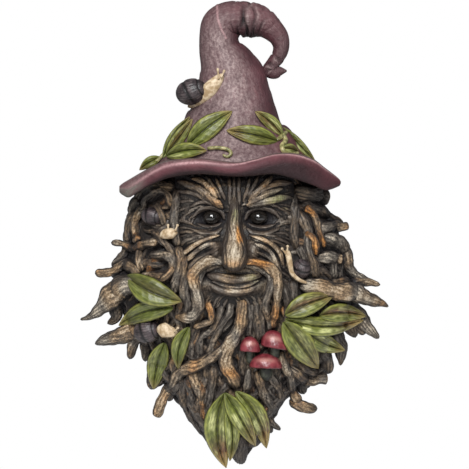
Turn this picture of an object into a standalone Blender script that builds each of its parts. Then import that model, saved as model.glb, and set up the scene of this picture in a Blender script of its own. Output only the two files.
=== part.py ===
"""Green man wall plaque: a bearded tree-root face under a drooping pointed hat.

The real object is one resin casting with a flat back, so the model is one solid.
The frame is in metres: +Z up, the wall at Y = 0, and the carving stands towards -Y.
The origin is on the flat back, half-way up. Carved forms are given as (across, up)
in carving units, which are three-hundredths of the plaque's height.
"""

import math

import bmesh
import bpy
import numpy as np

# Driving sizes, in metres
PLAQUE_HEIGHT = 0.300
KEYHOLE_HEAD_DIAMETER = 0.011
KEYHOLE_SHANK_WIDTH = 0.0055
KEYHOLE_DROP = 0.010
KEYHOLE_DEPTH = 0.009
KEYHOLE_LIP = 0.003
KEYHOLE_HEIGHT = 0.062

UNIT = PLAQUE_HEIGHT / 300
FINE_GRID = 1.1 * UNIT
FACET_COUNT = 9600
BEHIND_WALL = -4.0
SMALLEST_SHARE = 0.04

# The ground form that the roots lie on: height, left edge, right edge, depth in the middle
GROUND_STATIONS = np.array(
    [
        (44, -54, 52, 36),
        (20, -60, 56, 43),
        (0, -65, 67, 45),
        (-20, -71, 73, 45),
        (-40, -77, 78, 42),
        (-56, -70, 74, 38),
        (-70, -58, 64, 34),
        (-86, -51, 55, 30),
        (-100, -42, 38, 26),
        (-116, -28, 24, 20),
        (-130, -18, 18, 15),
        (-143, -6, 8, 10),
    ],
    float,
)
GROUND_EDGE_DEPTH = 8.0

# The hat's spine: across, up, half width, half depth, depth of the middle
HAT_STATIONS = np.array(
    [
        (0, 36, 56, 42, 12),
        (0, 50, 48, 38, 13),
        (-1, 60, 39, 32, 13),
        (-1.5, 70, 32.5, 27, 13),
        (-0.8, 80, 28, 24, 13),
        (-1.6, 90, 25, 21, 13),
        (-2.2, 100, 22.4, 19, 13),
        (-5.0, 110, 18.6, 17, 13),
        (-9.6, 119, 13.9, 15, 13),
        (-10.2, 128, 13.2, 14, 13),
        (-8.6, 134.5, 13.6, 13.4, 13),
        (-3, 138, 12.2, 12.4, 13),
        (5, 139.2, 11.4, 11, 13),
        (14, 138.4, 10.8, 10, 13),
        (22.4, 135, 8.8, 8.8, 13),
        (28, 129, 6.8, 7.4, 13),
        (30.2, 121.5, 5.4, 6.2, 13),
        (28, 114.5, 5.2, 5.6, 13),
        (23.8, 108.6, 4.8, 5, 13),
        (22.6, 104.6, 3.8, 4.6, 13),
        (26.4, 103.9, 3.2, 3.6, 13),
        (34, 105.2, 1.1, 1.3, 13),
    ],
    float,
)
HAT_CONE_STATIONS = 10

# The brim's lip: across, top edge, bottom edge
BRIM_STATIONS = np.array(
    [
        (-73.6, 31.5, 27),
        (-67, 34.5, 23.4),
        (-60, 38.5, 27.5),
        (-50, 43.5, 32.5),
        (-40, 46.5, 36),
        (-22, 47.5, 38),
        (0, 45.2, 36.5),
        (12, 47, 37),
        (25, 50.4, 38),
        (38, 50.6, 35),
        (50, 47, 31),
        (58, 41.5, 28),
        (67.6, 34.6, 31.5),
    ],
    float,
)
BRIM_DEPTH = 69.0
BRIM_END_DEPTH = 20.0
BRIM_HALF_WIDTH = 75.0

# Each root: route as (across, up), then thickness and height above the ground form, at both ends
HAIR_ROOTS = (
    (((38, 27), (48, 26), (59, 24)), (5, 4.8), (5, 3)),
    (((42, 20), (54, 14.5), (64, 9), (70, 6)), (3.6, 2.8), (4, 2)),
    (((53, 4), (63, 5), (73.4, 5.2)), (4, 3.4), (3, 0)),
    (((44, 17.5), (50, 14), (53, 7), (54, 0), (57, -9)), (2.8, 2.6), (8, 4)),
    (((45, 2), (50, -3), (51.5, -10), (55, -15.5), (68, -17)), (2.4, 3.4), (8, 4)),
    (((40, 16), (46, 4), (47, -8), (51, -20), (52, -29)), (3.2, 3.0), (3, 3)),
    (((57, -2), (64, -2), (71, -5)), (4.2, 3.4), (2, 0)),
    (((65, 3), (70, -6), (73.5, -17), (78, -26), (87, -30.5)), (3.2, 2.6), (0, 0)),
    (((58, -10), (63, -20), (62, -30)), (3.2, 3.0), (2, 2)),
    (((68, -12), (69, -22), (70, -31)), (3.4, 3.0), (1, 1)),
    (((46, -31), (64, -31), (80, -30.5), (94, -31.5)), (2.6, 0.9), (5, 1)),
    (((43, -34), (58, -35), (74, -37), (86, -38)), (4.4, 5.0), (6, 2)),
    (((85, -37.5), (92, -42.5), (99, -45.5)), (4.6, 0.9), (2, 0)),
    (((72, -42), (81, -50), (87, -59), (93.5, -66.5)), (7.2, 1.2), (1, 0)),
    (((68, -50), (77, -56), (86, -63)), (5.0, 2.0), (0, 0)),
    (((71, -54), (76, -61), (78, -66.5)), (5.8, 1.8), (1, 0)),
    (((37, 28), (38.5, 14), (37.5, 2), (40, -10)), (3.4, 3.0), (1, 2)),
    (((40, -6), (43, -12), (47, -20)), (2.6, 2.6), (3, 3)),
    (((-48, -4), (-56, -6), (-64, -8.5), (-72, -6.5), (-79.5, -5.2)), (3.0, 1.9), (9, 3)),
    (((-57, 19), (-62, 12), (-64, 4), (-62, -6)), (2.6, 3.2), (8, 6)),
    (((-60, -9), (-60.5, -16), (-59, -24)), (2.6, 2.4), (6, 5)),
    (((-66, 15), (-68, 4), (-68, -5), (-72, -14), (-79, -21)), (3.2, 2.8), (1, 0)),
    (((-61, -27), (-65, -21), (-71, -19), (-78, -23.5), (-90, -25.6)), (2.8, 1.4), (7, 0)),
    (((-66, -30), (-72, -26), (-80, -25.5)), (3.6, 2.6), (2, 0)),
    (((-62, -30), (-74, -33), (-82, -39), (-85.5, -47)), (4.4, 5.0), (4, 0)),
    (((-84.5, -44), (-90, -51), (-99.5, -54.6)), (4.6, 0.8), (1, 0)),
    (((-72, -36), (-75, -46), (-75, -55), (-81, -58)), (5.6, 1.2), (2, 0)),
    (((-62, -61), (-72, -64), (-81, -67.5), (-90, -70.6)), (6.0, 1.8), (3, 0)),
    (((-59, -60), (-65.5, -69), (-68.6, -80)), (5.6, 1.8), (2, 0)),
    (((-54, -64), (-57.5, -72), (-57.5, -82)), (4.2, 2.0), (2, 0)),
    (((-45, -80), (-51, -90), (-55.5, -99)), (5.0, 3.6), (0, 0)),
    (((-54, -13), (-45, -12.5), (-38.5, -18), (-43, -25.5), (-55, -26)), (2.6, 2.8), (7, 4)),
    (((-58, 17), (-56, 23.5), (-49, 27.5), (-42.5, 25), (-40, 17)), (2.6, 2.2), (7, 5)),
    (((-65, 21), (-58, 28), (-48, 31), (-38, 30)), (3.4, 3.2), (1, 5)),
    (((-60, 24), (-66, 20.5), (-69, 16), (-66.5, 12)), (2.6, 2.6), (2, 1)),
    (((-63, 15), (-69, 11), (-71, 7.2), (-68, 3)), (2.8, 2.4), (2, 1)),
    (((-37, 29), (-38.5, 14), (-37.5, 3), (-36, -8)), (3.0, 2.8), (3, 5)),
    (((-53, 2), (-47, -3), (-41, -8), (-38, -16)), (2.8, 2.4), (4, 5)),
    (((-36, -7), (-34.5, -16), (-37, -26), (-38, -38)), (2.6, 2.6), (7, 5)),
    (((-31, -13), (-32.5, -22), (-33, -32), (-32, -44)), (2.5, 2.6), (7, 5)),
    (((-38, -20), (-43, -26), (-48, -30)), (2.8, 2.2), (9, 6)),
)
BEARD_ROOTS = (
    (((5, -40), (4.5, -54), (0, -65), (-4.5, -74), (-4.5, -85), (2, -98)), (3.4, 4.2), (7, 6)),
    (((1, -64), (-9, -75), (-20, -81), (-31, -86), (-40, -95), (-50.2, -115.6)), (3.6, 4.6), (6, 0)),
    (((-27, -86), (-24.5, -95), (-21.5, -106), (-19, -121)), (3.8, 1.8), (4, 1)),
    (((-18, -42), (-14.5, -48), (-15, -54.5), (-20, -57), (-26.5, -60)), (2.4, 1.8), (7, 5)),
    (((-2, -41), (-3, -49), (-8, -57), (-13, -67), (-17, -79)), (2.6, 2.4), (5, 3)),
    (((-8, -41), (-9, -50), (-14, -59), (-21, -66), (-22, -79)), (2.4, 2.6), (3, 3)),
    (((-22, -54), (-26.5, -64), (-28, -73), (-27, -82)), (2.6, 2.4), (2, 2)),
    (((9, -40), (10.5, -52), (9.5, -66)), (2.5, 2.4), (4, 4)),
    (((13, -40), (14.5, -52), (15, -68)), (2.3, 2.3), (4, 4)),
    (((17, -38), (17.5, -52), (18.5, -66)), (2.3, 2.3), (4, 4)),
    (((31, -30), (33, -44), (32, -58)), (2.8, 2.6), (3, 2)),
    (((37, -28), (38, -42), (42, -56)), (2.8, 2.6), (3, 2)),
    (((6, -64), (4, -78), (5, -92)), (3.0, 3.0), (1, 1)),
    (((9.5, -85), (8.5, -94), (6, -103)), (2.2, 2.8), (6, 4)),
    (((15, -86), (17.5, -97), (20.5, -106), (25, -114)), (3.3, 2.8), (5, 2)),
    (((23, -108), (24, -118), (30.5, -124.6)), (3.4, 1.0), (2, 0)),
    (((16, -112), (20, -122), (24, -128)), (4.4, 2.4), (0, 0)),
    (((22, -86), (26, -96), (31, -106)), (2.8, 2.4), (4, 2)),
    (((29.5, -74), (32, -84), (36, -94), (39, -104), (42, -110)), (2.6, 3.2), (7, 3)),
    (((37, -106), (44, -110), (53, -111)), (4.6, 2.4), (3, 0)),
    (((33, -84), (42, -91), (50, -93.5), (59, -93)), (3.4, 3.4), (5, 2)),
    (((38, -81), (46, -86.5), (54, -88), (60, -84)), (3.2, 3.0), (2, 1)),
    (((53, -72), (58.5, -80), (60, -90)), (5.4, 3.8), (2, 0)),
    (((62, -64), (68, -74), (67.6, -84.5)), (5.6, 1.0), (1, 0)),
    (((64, -58), (70, -64), (73.4, -70)), (4.0, 0.9), (1, 0)),
    (((46, -90), (43, -98), (45, -103)), (4.6, 2.6), (1, 0)),
    (((-32, -92), (-32.5, -106), (-29, -117), (-20, -128)), (3.8, 2.8), (1, 0)),
    (((-44, -88), (-50, -96), (-55, -97)), (3.4, 2.6), (1, 0)),
    (((-36, -90), (-44, -98), (-49, -104)), (3.6, 2.0), (1, 0)),
    (((-30, -90), (-28, -104), (-24, -117)), (3.2, 2.8), (1, 0)),
    (((-12, -82), (-14.5, -94), (-15, -106), (-17, -120)), (3.4, 3.0), (3, 1)),
    (((-4, -92), (-9, -104), (-12, -116)), (3.2, 3.0), (2, 1)),
    (((10, -98), (13, -112), (15, -124)), (3.2, 3.0), (1, 0)),
    (((-2, -112), (3, -130), (4.5, -142)), (7.6, 6.8), (0, -2)),
)
FACE_ROOTS = (
    (((-4, -17.5), (-11, -17), (-19, -19), (-25.5, -25.5), (-26, -36)), (2.8, 3.8), (2, 3)),
    (((-26, -34), (-23.5, -43), (-27, -50.5), (-38.5, -52.6)), (4.0, 3.0), (5, 4)),
    (((6, -18.5), (14, -18), (21, -20), (26.5, -26.5), (28, -36)), (2.8, 3.8), (2, 3)),
    (((28, -34), (26.5, -44), (25.5, -58)), (3.6, 3.0), (5, 4)),
    (((24, -30), (21, -39), (20.5, -49), (22.5, -61)), (2.6, 2.6), (5, 4)),
    (((-12, -2.5), (-19, -4), (-27, -9), (-35, -13)), (2.0, 2.6), (2, 2)),
    (((12, -2), (19, -4.5), (26, -10), (31, -17)), (2.0, 2.6), (2, 2)),
    (((-34, 33.5), (-24, 30.5), (-14, 25.5), (-7.5, 19.6)), (2.6, 3.4), (1, 3)),
    (((-16, 33), (-12.5, 27), (-8, 21)), (2.0, 2.6), (2, 3)),
    (((-33, 25), (-22, 25), (-12, 20.5)), (2.2, 2.4), (2, 2)),
    (((33, 33), (24, 30.5), (15, 26), (8.5, 19.6)), (2.6, 3.4), (1, 3)),
    (((33, 22), (22, 21.5), (11, 19.4)), (2.2, 2.8), (2, 2)),
)

# Each leaf: base and tip as (across, up), half width, sideways bow, height above what it lies on
BEARD_LEAVES = (
    ((-69, -29), (-33.5, -43.5), 8.6, 3.5, 13),
    ((-42, -49), (-74.5, -58.5), 6.4, 2.5, 9),
    ((-45, -68), (-51.5, -99.5), 6.6, -2.0, 7),
    ((-28.5, -59.5), (-35.5, -86.5), 5.2, -2.0, 9),
    ((32, -53), (62.5, -38.5), 6.8, -4.0, 10),
    ((46, -53), (85.5, -53), 4.8, -3.5, 12),
    ((35, -54.5), (84.5, -54.5), 4.8, 4.5, 10),
    ((30.5, -55.5), (54, -86.5), 9.0, 3.5, 11),
    ((46, -60), (69.5, -78), 6.6, -3.0, 8),
    ((-9, -104), (-6.5, -150.5), 9.0, -4.4, 8),
    ((-7, -106), (-1.5, -143.5), 5.6, -3.0, 12),
    ((-5, -101), (14, -135.5), 5.6, -1.5, 13),
    ((1, -99.5), (19.5, -136.5), 6.6, -4.0, 10),
)
HAT_LEAVES = (
    ((-47.5, 49), (-31, 75), 3.6, 0.5, 1.5),
    ((-44, 53), (-26.5, 74.5), 4.2, 1.5, 3.2),
    ((-29, 58), (-1.5, 78.5), 7.4, 1.5, 2.0),
    ((-45, 49), (-17.5, 53.5), 5.4, 3.0, 4.5),
    ((-46, 48), (-60.5, 42.5), 3.8, -1.0, 3.0),
    ((29, 60), (-5, 66.5), 6.6, 0.5, 2.0),
    ((31, 63), (13, 79.5), 4.0, -1.5, 2.6),
    ((29, 67), (52.5, 46.5), 4.0, 0.5, 2.2),
    ((31, 56), (50, 49.5), 3.2, 1.5, 4.0),
)

# Each snail: shell middle, shell radius, height above the ground form, body route
SNAILS = (
    ((-52, 11), 8.6, 9, ((-46, 3), (-42, 1), (-36, 2.5))),
    ((43.5, -19), 8.4, 7, ((45, -29), (37, -24), (35.5, -16), (31.5, -9))),
    ((-56, -61), 8.4, 9, ((-52, -60), (-46, -60.5), (-38.5, -62))),
)
HAT_SNAIL_SHELLS = (((-30.5, 91.2), 8.2), ((-23.5, 94.8), 5.6))
HAT_SNAIL_BODY = ((-29, 83.5), (-20, 88), (-13, 94), (-8, 100))

# Each mushroom: middle of the cap's rim, cap radius, cap height
MUSHROOMS = (((10, -74), 7.4, 9.5), ((25, -71.5), 9.2, 9.8), ((19.5, -84), 10.6, 9.0))

NOSE_STATIONS = np.array(
    [
        (23, 3.4, 55),
        (18, 4.6, 57),
        (11, 5.2, 60),
        (4, 6.2, 63),
        (-4, 7.2, 66),
        (-12, 8.0, 70),
        (-18, 7.2, 70.5),
        (-21.6, 5.0, 67.5),
        (-23.2, 1.8, 62),
    ],
    float,
)
SMILE_LOW, SMILE_RISE, SMILE_HALF_WIDTH = -32.0, 7.0, 17.5



def smooth_route(points, steps):
    """Points along a smooth curve through the given points, a Catmull-Rom spline."""
    points = np.asarray(points, float)
    padded = np.vstack([2 * points[0] - points[1], points, 2 * points[-1] - points[-2]])
    at = np.linspace(0, len(points) - 1, steps)
    span = np.minimum(at.astype(int), len(points) - 2)
    t = (at - span)[:, None]
    a, b, c, d = (padded[span + k] for k in range(4))
    return 0.5 * (2 * b + (c - a) * t + (2 * a - 5 * b + 4 * c - d) * t**2 + (3 * b - a - 3 * c + d) * t**3)


def ground_depth(across, up):
    """How far the ground form stands off the wall: a rounded section that thins to its edges."""
    stations = GROUND_STATIONS[::-1].T
    left, right, middle = (np.interp(up, stations[0], stations[k]) for k in (1, 2, 3))
    sideways = (across - (left + right) / 2) / ((right - left) / 2)
    rise = np.sqrt(np.clip(1 - np.abs(sideways) ** 2.4, 0, 1))
    return GROUND_EDGE_DEPTH + (middle - GROUND_EDGE_DEPTH) * rise


def hat_depth(across, up):
    """How far the front of the hat's cone stands off the wall."""
    cone = HAT_STATIONS[:HAT_CONE_STATIONS].T
    middle, half_width, half_depth, core = (np.interp(up, cone[1], cone[k]) for k in (0, 2, 3, 4))
    sideways = (across - middle) / half_width
    return core + half_depth * np.sqrt(np.clip(1 - sideways**2, SMALLEST_SHARE, 1))


def in_frame(across, up, depth):
    """Carving coordinates as points of the frame, in metres."""
    across, up, depth = np.broadcast_arrays(across, up, depth)
    return np.stack([across, -depth, up], axis=-1) * UNIT


def lofted(rings):
    """A closed mesh over rings of points, shape (rings, points, 3), with a flat cap at both ends."""
    count, around = rings.shape[:2]
    first = np.arange(count - 1)[:, None] * around
    here = np.arange(around)[None, :]
    after = (here + 1) % around
    walls = np.stack([first + here, first + after, first + around + after, first + around + here], axis=-1)
    mesh = bpy.data.meshes.new("loft")
    caps = [list(range(around))[::-1], list(range((count - 1) * around, count * around))]
    mesh.from_pydata(rings.reshape(-1, 3).tolist(), [], walls.reshape(-1, 4).tolist() + caps)
    shape = bmesh.new()
    shape.from_mesh(mesh)
    bmesh.ops.recalc_face_normals(shape, faces=shape.faces)
    shape.to_mesh(mesh)
    shape.free()
    return mesh


def ground_form():
    """The mass behind the roots: half-round slices, one for each station, closed behind the wall."""
    turn = np.linspace(0, math.pi, 25)
    ups = np.linspace(GROUND_STATIONS[0, 0], GROUND_STATIONS[-1, 0], 40)
    stations = GROUND_STATIONS[::-1].T
    rings = []
    for up in ups:
        left, right = np.interp(up, stations[0], stations[1]), np.interp(up, stations[0], stations[2])
        across = (left + right) / 2 - (right - left) / 2 * np.cos(turn)
        front = in_frame(across, up, ground_depth(across, up))
        back = in_frame(across[::-1], up, BEHIND_WALL)
        rings.append(np.vstack([front, back]))
    return lofted(np.array(rings))


def face_form():
    """The face behind its roots: a domed mask with eye sockets, cheeks, lips and a chin."""
    across, up = np.meshgrid(np.linspace(-37, 37, 45), np.linspace(40, -44, 51))
    front = in_frame(across, up, face_depth(across, up))
    back = in_frame(across, up, 20.0)
    return lofted(np.concatenate([front, back[:, ::-1]], axis=1))


def swelling(across, up, middle, spread, height):
    """A smooth round swelling, or a hollow where the height is negative."""
    return height * np.exp(-(((across - middle[0]) / spread[0]) ** 2) - ((up - middle[1]) / spread[1]) ** 2)


def face_depth(across, up):
    """How far the face stands off the wall."""
    side_fall = np.clip(1 - np.abs(across / 40) ** 3, 0, 1) ** 0.8
    depth = 30 + 20 * side_fall * np.clip(1 - np.abs((up - 2) / 62) ** 4, 0, 1)
    depth = depth + swelling(across, up, (0, 28), (22, 8), 3)
    for side in (-1, 1):
        depth = depth + swelling(across, up, (side * 16, 9.5), (10, 7), -9)
        depth = depth + swelling(across, up, (side * 22, -4), (9, 6), 5)
        depth = depth + swelling(across, up, (side * 11.5, -11), (4.5, 5.5), 8)
        depth = depth + swelling(across, up, (side * 15, -21), (5, 5), -3)
    smile = SMILE_LOW + SMILE_RISE * (across / SMILE_HALF_WIDTH) ** 2
    mouth = np.exp(-np.abs(across / SMILE_HALF_WIDTH) ** 4)
    lips = 6 * np.exp(-(((up - smile - 4) / 2.6) ** 2)) + 6 * np.exp(-(((up - smile + 4) / 2.8) ** 2))
    return depth + mouth * (lips - 5 * np.exp(-(((up - smile) / 1.3) ** 2)))


def front_depth(across, up):
    """The face or the ground form, whichever stands further off the wall."""
    return np.maximum(face_depth(across, up), ground_depth(across, up))


def eye_forms():
    """The eyeballs, each between an upper and a lower lid."""
    forms = []
    for side in (-1, 1):
        forms.append(round_form((side * 16, 9.5, 43), (6.4, 4.6, 6.5)))
        forms.append(round_form((side * 16.5, 14.4, 44), (10, 2.2, 5)))
        forms.append(round_form((side * 16.5, 4.4, 43), (10, 2.0, 5)))
    return forms


def nose_form():
    """The long nose: oval slices that widen and stand forward towards the tip."""
    turn = np.linspace(0, 2 * math.pi, 12, endpoint=False)
    rings = []
    for up, half_width, front in smooth_route(NOSE_STATIONS, 18):
        across = half_width * np.sin(turn)
        depth = front - 14 + 14 * np.cos(turn)
        rings.append(in_frame(across, up, depth))
    return lofted(np.array(rings))


def hat_form():
    """The hat's cone, bent over at the top and curled up at its tip, as ovals along its spine."""
    spine = smooth_route(HAT_STATIONS, 66)
    turn = np.linspace(0, 2 * math.pi, 24, endpoint=False)
    heading = np.gradient(spine[:, :2], axis=0)
    heading /= np.linalg.norm(heading, axis=1)[:, None]
    rings = []
    for (across, up, half_width, half_depth, middle), (east, north) in zip(spine, heading):
        sideways = half_width * np.cos(turn)
        rings.append(
            in_frame(across + north * sideways, up - east * sideways, middle + half_depth * np.sin(turn))
        )
    return lofted(np.array(rings))


def brim_form():
    """The drooping brim: a wavy lip, thick and rounded, that runs back into the cone."""
    stations = smooth_route(BRIM_STATIONS, 45)
    rings = []
    for across, top, bottom in stations:
        reach = math.sqrt(max(0.0, 1 - (across / BRIM_HALF_WIDTH) ** 2))
        front = BRIM_END_DEPTH + (BRIM_DEPTH - BRIM_END_DEPTH) * reach
        middle = (top + bottom) / 2
        depths = np.array([BEHIND_WALL, front * 0.55, front - 4, front, front, front - 3.5, front * 0.5, BEHIND_WALL])
        ups = np.array([top + reach, top + 4 * reach, top, top - 1.6, middle, bottom, bottom + 3, bottom + 1])
        rings.append(in_frame(across, ups, depths))
    return lofted(np.array(rings))


def leaf_form(leaf, surface_depth):
    """A leaf laid over a surface: pointed at both ends, with two bellied halves and a grooved midrib."""
    base, tip, half_width, bow, height = leaf
    base, tip = np.array(base, float), np.array(tip, float)
    along = np.linspace(0, 1, 11)[:, None]
    heading = (tip - base) / np.linalg.norm(tip - base)
    side = np.array([-heading[1], heading[0]])
    middle = base + (tip - base) * along + side * bow * 4 * along * (1 - along)
    spread = half_width * np.sin(math.pi * along**0.85) ** 0.75 + 0.4
    edge = np.array([-1, -0.55, 0, 0.55, 1, 0.5, -0.5])
    rise = np.array([0.2, 1.7, 0.8, 1.7, 0.2, -1.6, -1.6])
    plan = middle[:, None, :] + (spread * edge)[..., None] * side
    arch = 2.5 * np.sin(math.pi * along)
    depth = surface_depth(middle[:, 0], middle[:, 1])[:, None] + height + arch + rise
    return lofted(in_frame(plan[..., 0], plan[..., 1], depth))


def round_form(middle, radii):
    """An ellipsoid with its middle and radii given as (across, up, depth)."""
    shape = bmesh.new()
    bmesh.ops.create_uvsphere(shape, u_segments=16, v_segments=10, radius=1)
    for vert in shape.verts:
        across, depth, up = vert.co
        vert.co = in_frame(
            middle[0] + radii[0] * across, middle[1] + radii[1] * up, middle[2] + radii[2] * depth
        )
    bmesh.ops.recalc_face_normals(shape, faces=shape.faces)
    mesh = bpy.data.meshes.new("round")
    shape.to_mesh(mesh)
    shape.free()
    return mesh


def root_curve(name, roots, surface_depth):
    """All the roots of one group as a curve object, one tapering spline for each root."""
    curve = bpy.data.curves.new(name, "CURVE")
    curve.dimensions = "3D"
    curve.bevel_depth = UNIT
    curve.bevel_resolution = 2
    curve.use_fill_caps = True
    for route, thickness, height in roots:
        stations = np.column_stack(
            [route, np.linspace(*thickness, len(route)), np.linspace(*height, len(route))]
        )
        line = smooth_route(stations, 6 * len(route))
        depth = surface_depth(line[:, 0], line[:, 1]) + line[:, 3]
        points = in_frame(line[:, 0], line[:, 1], depth)
        spline = curve.splines.new("POLY")
        spline.points.add(len(points) - 1)
        spline.points.foreach_set("co", np.column_stack([points, np.ones(len(points))]).ravel())
        spline.points.foreach_set("radius", line[:, 2])
    obj = bpy.data.objects.new(name, curve)
    bpy.context.scene.collection.objects.link(obj)
    return obj


def snail_roots():
    """The snails' soft bodies, as short roots."""
    bodies = [(route, (2.2, 3.2), (height - 3, height + 1)) for _, _, height, route in SNAILS]
    return tuple(bodies)


def snail_shells():
    """The snails' shells: flattened balls on the hair, and two whorls on the hat."""
    forms = []
    for (across, up), radius, height, _ in SNAILS:
        depth = ground_depth(across, up) + height
        forms.append(round_form((across, up, depth), (radius, radius, radius * 0.75)))
    for (across, up), radius in HAT_SNAIL_SHELLS:
        depth = hat_depth(across, up) + radius * 0.5
        forms.append(round_form((across, up, depth), (radius, radius, radius)))
    return forms


def mushroom_forms():
    """The toadstools: a domed cap over a short stalk that runs back into the beard."""
    forms = []
    for (across, up), radius, height in MUSHROOMS:
        depth = float(ground_depth(across, up)) + 6
        turn = np.linspace(0, 2 * math.pi, 14, endpoint=False)
        rings = []
        for share in np.linspace(0, 1, 6):
            reach = max(math.cos(share * math.pi / 2), SMALLEST_SHARE)
            rings.append(
                in_frame(
                    across + radius * reach * np.cos(turn),
                    up + height * math.sin(share * math.pi / 2),
                    depth + radius * 0.8 * reach * np.sin(turn),
                )
            )
        forms.append(lofted(np.array(rings)))
        forms.append(round_form((across, up - 2, depth - 4), (radius * 0.45, 4, 7)))
    return forms


def add_mesh(shape, mesh):
    """Adds a mesh to the shape that is being gathered."""
    shape.from_mesh(mesh)
    bpy.data.meshes.remove(mesh)


def gathered_carving():
    """Every carved form in one mesh, still overlapping."""
    shape = bmesh.new()
    for form in (ground_form(), face_form(), nose_form(), hat_form(), brim_form()):
        add_mesh(shape, form)
    for leaf in BEARD_LEAVES:
        add_mesh(shape, leaf_form(leaf, ground_depth))
    for leaf in HAT_LEAVES:
        add_mesh(shape, leaf_form(leaf, hat_depth))
    for form in eye_forms() + snail_shells() + mushroom_forms():
        add_mesh(shape, form)
    groups = (
        ("hair", HAIR_ROOTS + snail_roots(), ground_depth),
        ("beard", BEARD_ROOTS, ground_depth),
        ("face", FACE_ROOTS, front_depth),
        ("hat_snail", ((HAT_SNAIL_BODY, (1.8, 3.4), (1.5, 2.5)),), hat_depth),
    )
    for name, roots, surface_depth in groups:
        obj = root_curve(name, roots, surface_depth)
        evaluated = obj.evaluated_get(bpy.context.evaluated_depsgraph_get())
        add_mesh(shape, bpy.data.meshes.new_from_object(evaluated))
        bpy.data.objects.remove(obj)
    mesh = bpy.data.meshes.new("carving")
    shape.to_mesh(mesh)
    shape.free()
    return mesh


def applied(obj, add_modifiers):
    """The object's mesh after its modifiers, put in place of its own."""
    add_modifiers(obj)
    evaluated = obj.evaluated_get(bpy.context.evaluated_depsgraph_get())
    mesh = bpy.data.meshes.new_from_object(evaluated)
    obj.modifiers.clear()
    obj.data = mesh


def fuse(obj):
    """Overlapping forms become one skin."""
    remesh = obj.modifiers.new("one_skin", "REMESH")
    remesh.mode = "VOXEL"
    remesh.voxel_size = FINE_GRID


def flatten_back(obj):
    """Cuts everything behind the wall away and closes the cut with a flat back."""
    shape = bmesh.new()
    shape.from_mesh(obj.data)
    cut = bmesh.ops.bisect_plane(
        shape,
        geom=shape.verts[:] + shape.edges[:] + shape.faces[:],
        plane_co=(0, 0, 0),
        plane_no=(0, 1, 0),
        clear_outer=True,
    )
    rim = [item for item in cut["geom_cut"] if isinstance(item, bmesh.types.BMEdge)]
    bmesh.ops.triangle_fill(shape, edges=rim, use_beauty=True, use_dissolve=False, normal=(0, 1, 0))
    bmesh.ops.recalc_face_normals(shape, faces=shape.faces)
    shape.to_mesh(obj.data)
    shape.free()


def thin_out(obj):
    """Fewer, larger facets, which keep to the form."""
    triangles = len(obj.data.loop_triangles) or sum(len(p.vertices) - 2 for p in obj.data.polygons)
    decimate = obj.modifiers.new("facets", "DECIMATE")
    decimate.ratio = min(1.0, FACET_COUNT / triangles)
    decimate.use_collapse_triangulate = True


def level_back(obj):
    """Points within a hair of the wall go onto it."""
    points = np.empty(len(obj.data.vertices) * 3, np.float32)
    obj.data.vertices.foreach_get("co", points)
    points = points.reshape(-1, 3)
    points[points[:, 1] > -0.3 * UNIT, 1] = 0
    obj.data.vertices.foreach_set("co", points.ravel())
    obj.data.update()


def remove_specks(obj):
    """Keeps the largest connected body."""
    shape = bmesh.new()
    shape.from_mesh(obj.data)
    left = set(shape.verts)
    bodies = []
    while left:
        body, edge = set(), [left.pop()]
        while edge:
            vert = edge.pop()
            body.add(vert)
            for link in vert.link_edges:
                other = link.other_vert(vert)
                if other in left:
                    left.discard(other)
                    edge.append(other)
        bodies.append(body)
    largest = max(bodies, key=len)
    bmesh.ops.delete(shape, geom=[v for v in shape.verts if v not in largest], context="VERTS")
    shape.to_mesh(obj.data)
    shape.free()


def cylinder(name, radius, near, far, up):
    """A cutter: a round bar along Y from near to far behind the face of the back."""
    bpy.ops.mesh.primitive_cylinder_add(
        vertices=24,
        radius=radius,
        depth=far - near,
        location=(0, -(near + far) / 2, up),
        rotation=(math.pi / 2, 0, 0),
    )
    bpy.context.object.name = name
    return bpy.context.object


def box(name, width, near, far, low, high):
    """A cutter: a square bar along Y."""
    bpy.ops.mesh.primitive_cube_add(size=1, location=(0, -(near + far) / 2, (low + high) / 2))
    bpy.context.object.name = name
    bpy.context.object.scale = (width, far - near, high - low)
    return bpy.context.object


def keyhole_cutters():
    """The hanging keyhole: a round mouth for a screw's head, a slot up, and an undercut behind the slot."""
    top = KEYHOLE_HEIGHT + KEYHOLE_DROP
    outside = -0.002
    head = KEYHOLE_HEAD_DIAMETER / 2
    shank = KEYHOLE_SHANK_WIDTH / 2
    return (
        cylinder("keyhole_mouth", head, outside, KEYHOLE_DEPTH, KEYHOLE_HEIGHT),
        cylinder("keyhole_slot_top", shank, outside, KEYHOLE_DEPTH, top),
        box("keyhole_slot", 2 * shank, outside, KEYHOLE_DEPTH, KEYHOLE_HEIGHT, top),
        cylinder("keyhole_seat", head, KEYHOLE_LIP, KEYHOLE_DEPTH, top),
        box("keyhole_seat_run", 2 * head, KEYHOLE_LIP, KEYHOLE_DEPTH, KEYHOLE_HEIGHT, top),
    )


def cut_keyhole(obj, helpers):
    """Cuts the hanging keyhole out of the flat back."""
    for cutter in keyhole_cutters():
        cutter.hide_render = True
        cutter.display_type = "WIRE"
        for owner in cutter.users_collection:
            owner.objects.unlink(cutter)
        helpers.objects.link(cutter)
        cut = obj.modifiers.new(cutter.name, "BOOLEAN")
        cut.operation = "DIFFERENCE"
        cut.object = cutter


def resin():
    """Painted cast resin, mostly the dark umber of the roots."""
    material = bpy.data.materials.new("painted_resin")
    material.use_nodes = True
    shader = material.node_tree.nodes["Principled BSDF"]
    shader.inputs["Base Color"].default_value = (0.11, 0.08, 0.06, 1)
    shader.inputs["Roughness"].default_value = 0.55
    shader.inputs["Metallic"].default_value = 0.0
    return material


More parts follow.
